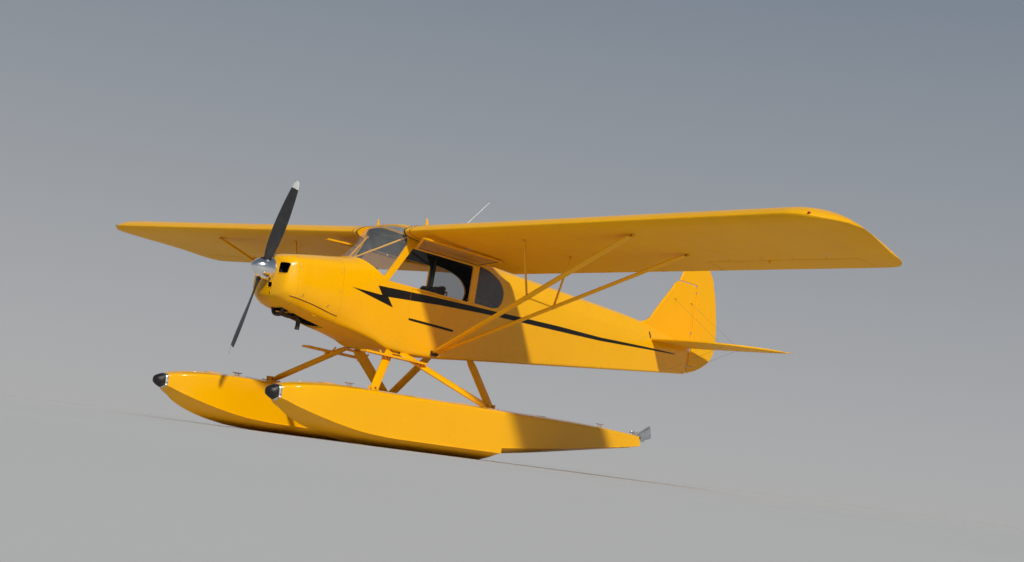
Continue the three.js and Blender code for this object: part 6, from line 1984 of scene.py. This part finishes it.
# ------------------------------------------------------------------ seats
def rounded_slab(outline_yz, half, r=26):
    """A pad: the side outline run across the seat, narrowing round its ends."""
    o = round_poly(outline_yz, r, 6)
    P = []
    for t in (-1, -0.985, -0.94, -0.86, -0.6, 0, 0.6, 0.86, 0.94, 0.985, 1):
        k = {1: 30, 0.985: 18, 0.94: 7, 0.86: 0}.get(abs(t), 0)
        q = inset(o, k)
        P.append([(t * half, y, z) for y, z in q])
    return Build().grid(np.array(P), cap0=True, cap1=True)


def puff(obj, cap=0.024, voxel=0.0085, pressure=4.0):
    """Stuffs a pad: voxel remesh, cloth under pressure without gravity, movement capped, result kept as mesh."""
    def bake(o):
        dg = bpy.context.evaluated_depsgraph_get()
        me = bpy.data.meshes.new_from_object(o.evaluated_get(dg))
        o.modifiers.clear()
        old = o.data
        o.data = me
        bpy.data.meshes.remove(old)
    r = obj.modifiers.new("r", "REMESH")
    r.mode = "VOXEL"
    r.voxel_size = voxel
    bake(obj)
    n = len(obj.data.vertices)
    before = np.empty(n * 3)
    obj.data.vertices.foreach_get("co", before)
    c = obj.modifiers.new("c", "CLOTH")
    st = c.settings
    st.quality = 5
    st.mass = 0.3
    st.tension_stiffness = 12
    st.compression_stiffness = 12
    st.shear_stiffness = 6
    st.bending_stiffness = 0.6
    st.use_pressure = True
    st.uniform_pressure_force = pressure
    st.effector_weights.gravity = 0.0
    c.collision_settings.use_collision = False
    c.point_cache.frame_start = 1
    c.point_cache.frame_end = 20
    for f in range(1, 21):
        bpy.context.scene.frame_set(f)
    bake(obj)
    bpy.context.scene.frame_set(1)
    after = np.empty(n * 3)
    obj.data.vertices.foreach_get("co", after)
    d = (after - before).reshape(-1, 3)
    L = np.linalg.norm(d, axis=1, keepdims=True)
    d *= np.minimum(1.0, cap / np.maximum(L, 1e-9))
    obj.data.vertices.foreach_set("co", (before.reshape(-1, 3) + d).ravel())
    s = obj.modifiers.new("s", "SUBSURF")
    s.levels = s.render_levels = 1
    bake(obj)
    return obj


INV = AIR.inverted()


def pad(name, outline_yz, half, channels, normal, piping, nodes):
    """A stuffed pad with sewn channels across its face and piping round its edge."""
    b = rounded_slab(outline_yz, half)
    b.moved(AIR)
    o = puff(raw(b, name))
    me = o.data
    co = np.empty(len(me.vertices) * 3)
    me.vertices.foreach_get("co", co)
    co = co.reshape(-1, 3)
    no = np.empty(len(me.vertices) * 3)
    me.vertices.foreach_get("normal", no)
    no = no.reshape(-1, 3)
    m3 = np.array(INV)
    loc = co @ m3[:3, :3].T + m3[:3, 3]
    facing = np.clip((no @ (np.array(AIR.to_3x3()) @ np.array(normal) * 1000)) * 1.6 - 0.3, 0, 1)
    for x in channels:
        dist = np.abs(loc[:, 0] - x)
        co -= no * (0.007 * np.clip(1 - (dist / 16.0) ** 2, 0, 1) ** 1.5 * facing)[:, None]
    me.vertices.foreach_set("co", co.ravel())
    me.update()
    tree = BVHTree.FromPolygons([Vector(v) for v in (co @ m3[:3, :3].T + m3[:3, 3])], [tuple(p.vertices) for p in me.polygons])
    w = Build()
    for pts in piping(tree):
        w.tube(pts, 3.2, 8, 0, closed=True)
    for p in me.polygons:
        p.use_smooth = True
    me.materials.clear()
    me.materials.append(M["seat"])
    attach(o, "airframe")
    if nodes:
        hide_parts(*nodes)
    pip = make(name + "_piping", w, ["welt"], sharp=60)
    return o


def loop_on(tree, centre, u, v, hu, hv, power=5.0, n=72, out=0.0):
    """A closed line round a pad: rays cast from outside towards its centre, in the plane of u and v."""
    c, u, v = np.array(centre, float), np.array(u, float), np.array(v, float)
    pts = []
    for k in range(n):
        a = 2 * math.pi * k / n
        ca, sa = math.cos(a), math.sin(a)
        r = (abs(ca) ** power + abs(sa) ** power) ** (-1 / power)
        q = c + u * (ca * r * hu) + v * (sa * r * hv)
        d = c - q
        h = tree.ray_cast(Vector(q + (q - c) * 0.6), Vector(d).normalized())
        if h[0] is not None:
            pts.append(np.array(h[0]) + np.array(h[1]) * out)
    return pts


for nm, y0, node in (("front", 330, "front_seat"), ("rear", 985, "rear_seat")):
    base = [(y0 + 16, -792), (y0 + 14, -712), (y0 + 54, -700), (y0 + 368, -722), (y0 + 404, -730), (y0 + 432, -788)]
    back = [(y0 + 412, -712), (y0 + 474, -350), (y0 + 502, -322), (y0 + 532, -334), (y0 + 484, -742), (y0 + 446, -756)]
    bc = (0, y0 + 216, -746)
    kc, kn = (0, y0 + 474, -535), np.array((0, -0.985, 0.17))
    up = np.array((0, 0.17, 0.985))
    pad(f"{nm}_seat_cushion", base, 205, (-72, 0, 72), (0, 0, 1),
        lambda t, c=bc: [loop_on(t, np.array(c) + np.array((0, 0, 22)), (1, 0, 0), (0, 1, -0.05), 240, 230, out=0.5), loop_on(t, np.array(c) - np.array((0, 0, 24)), (1, 0, 0), (0, 1, 0), 240, 230, out=0.5)],
        (node,))
    pad(f"{nm}_seat_back", back, 205, (-72, 0, 72), tuple(kn),
        lambda t, c=kc, kn=kn, up=up: [loop_on(t, np.array(c) + kn * 16, (1, 0, 0), up, 240, 250, out=0.5), loop_on(t, np.array(c) - kn * 18, (1, 0, 0), up, 240, 250, out=0.5)],
        ())
    b = Build()
    z = -818
    fr = round_poly([(-200, y0 + 20), (200, y0 + 20), (200, y0 + 416), (-200, y0 + 416)], 34, 6)
    b.tube([(x, y, z) for x, y in fr], 11.5, 14, 0, closed=True)
    for s in (1, -1):
        for y in (y0 + 34, y0 + 402):
            fz = float(np.interp(y, [p[0] for p in fl], [p[1] for p in fl]))
            b.tube([(s * 196, y, z), (s * 196, y, fz + 2)], 10, 12, 0)
            b.lathe([(22, 0), (22, 3), (12, 6), (10, 12)], (s * 196, y, fz), (0, 0, 1), 20, 0)
        b.tube(bend([(s * 196, y0 + 402, z), (s * 196, y0 + 470, z + 34), (s * 190, y0 + 512, -640), (s * 176, y0 + 546, -400)], 5), 8, 12, 0)
    b.tube([(-176, y0 + 546, -400), (176, y0 + 546, -400)], 8, 12, 0)
    for k in range(5):
        y = y0 + 70 + 72 * k
        b.tube([(-196, y, z + 3), (196, y, z + 3)], 3, 8, 0)
    make(f"{nm}_seat_tubes", b, ["steel"], nodes=(f"{node}_frame",), sharp=50)

# ------------------------------------------------------------------ stage
def stage():
    me = bpy.data.meshes.new("studio_floor")
    r, n = 380.0, 128
    verts = [(0, 0, 0)] + [(r * math.cos(2 * math.pi * i / n), r * math.sin(2 * math.pi * i / n), 0) for i in range(n)]
    me.from_pydata(verts, [], [(0, 1 + i, 1 + (i + 1) % n) for i in range(n)])
    fl = bpy.data.objects.new("studio_floor", me)
    bpy.context.scene.collection.objects.link(fl)
    m = Mat("studio_floor_paint")
    col = m.ramp(m.noise(0.6, 3, 0.5), [(0.3, (0.515, 0.515, 0.512)), (0.7, (0.53, 0.53, 0.527))])
    m.done(col, 0.75, m.bump(m.noise(60, 2, 0.5), 0.0002), Specular_IOR_Level=0.2)
    me.materials.append(m.m)
    fl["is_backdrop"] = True
    w = bpy.data.worlds.new("studio")
    bpy.context.scene.world = w
    w.use_nodes = True
    t = w.node_tree
    t.nodes.clear()
    out = t.nodes.new("ShaderNodeOutputWorld")
    bg = t.nodes.new("ShaderNodeBackground")
    tc = t.nodes.new("ShaderNodeTexCoord")
    sep = t.nodes.new("ShaderNodeSeparateXYZ")
    ramp = t.nodes.new("ShaderNodeValToRGB")
    t.links.new(tc.outputs["Generated"], sep.inputs[0])
    t.links.new(sep.outputs[2], ramp.inputs[0])
    r = ramp.color_ramp
    stops = [(0.0, (0.408, 0.408, 0.405)), (0.03, (0.398, 0.402, 0.410)), (0.3, (0.196, 0.234, 0.285)), (1.0, (0.10, 0.122, 0.155))]
    while len(r.elements) < len(stops):
        r.elements.new(0.5)
    for e, (p, c) in zip(r.elements, stops):
        e.position = p
        e.color = (*c, 1)
    t.links.new(ramp.outputs[0], bg.inputs[0])
    bg.inputs[1].default_value = 1.0
    t.links.new(bg.outputs[0], out.inputs[0])
    sun = bpy.data.lights.new("key", "SUN")
    sun.energy = 3.08
    sun.angle = math.radians(4)
    sun.color = (1.0, 0.965, 0.90)
    so = bpy.data.objects.new("key", sun)
    bpy.context.scene.collection.objects.link(so)
    d = Vector((1.0, -0.51, 0.92)).normalized()
    so.rotation_euler = d.to_track_quat("Z", "Y").to_euler()
    so.location = d * 20

    def area(name, loc, target, size, power, color=(1, 1, 1)):
        dd = bpy.data.lights.new(name, "AREA")
        dd.shape = "RECTANGLE"
        dd.size, dd.size_y = size
        dd.energy = power
        dd.color = color
        o = bpy.data.objects.new(name, dd)
        bpy.context.scene.collection.objects.link(o)
        o.location = loc
        o.rotation_euler = (Vector(target) - Vector(loc)).to_track_quat("-Z", "Y").to_euler()
    area("rim", (-12, 9, 8), (0, 0, 1), (20, 16), 140, (0.92, 0.96, 1.0))
stage()
bpy.context.scene.view_settings.view_transform = "Standard"

lo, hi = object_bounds()
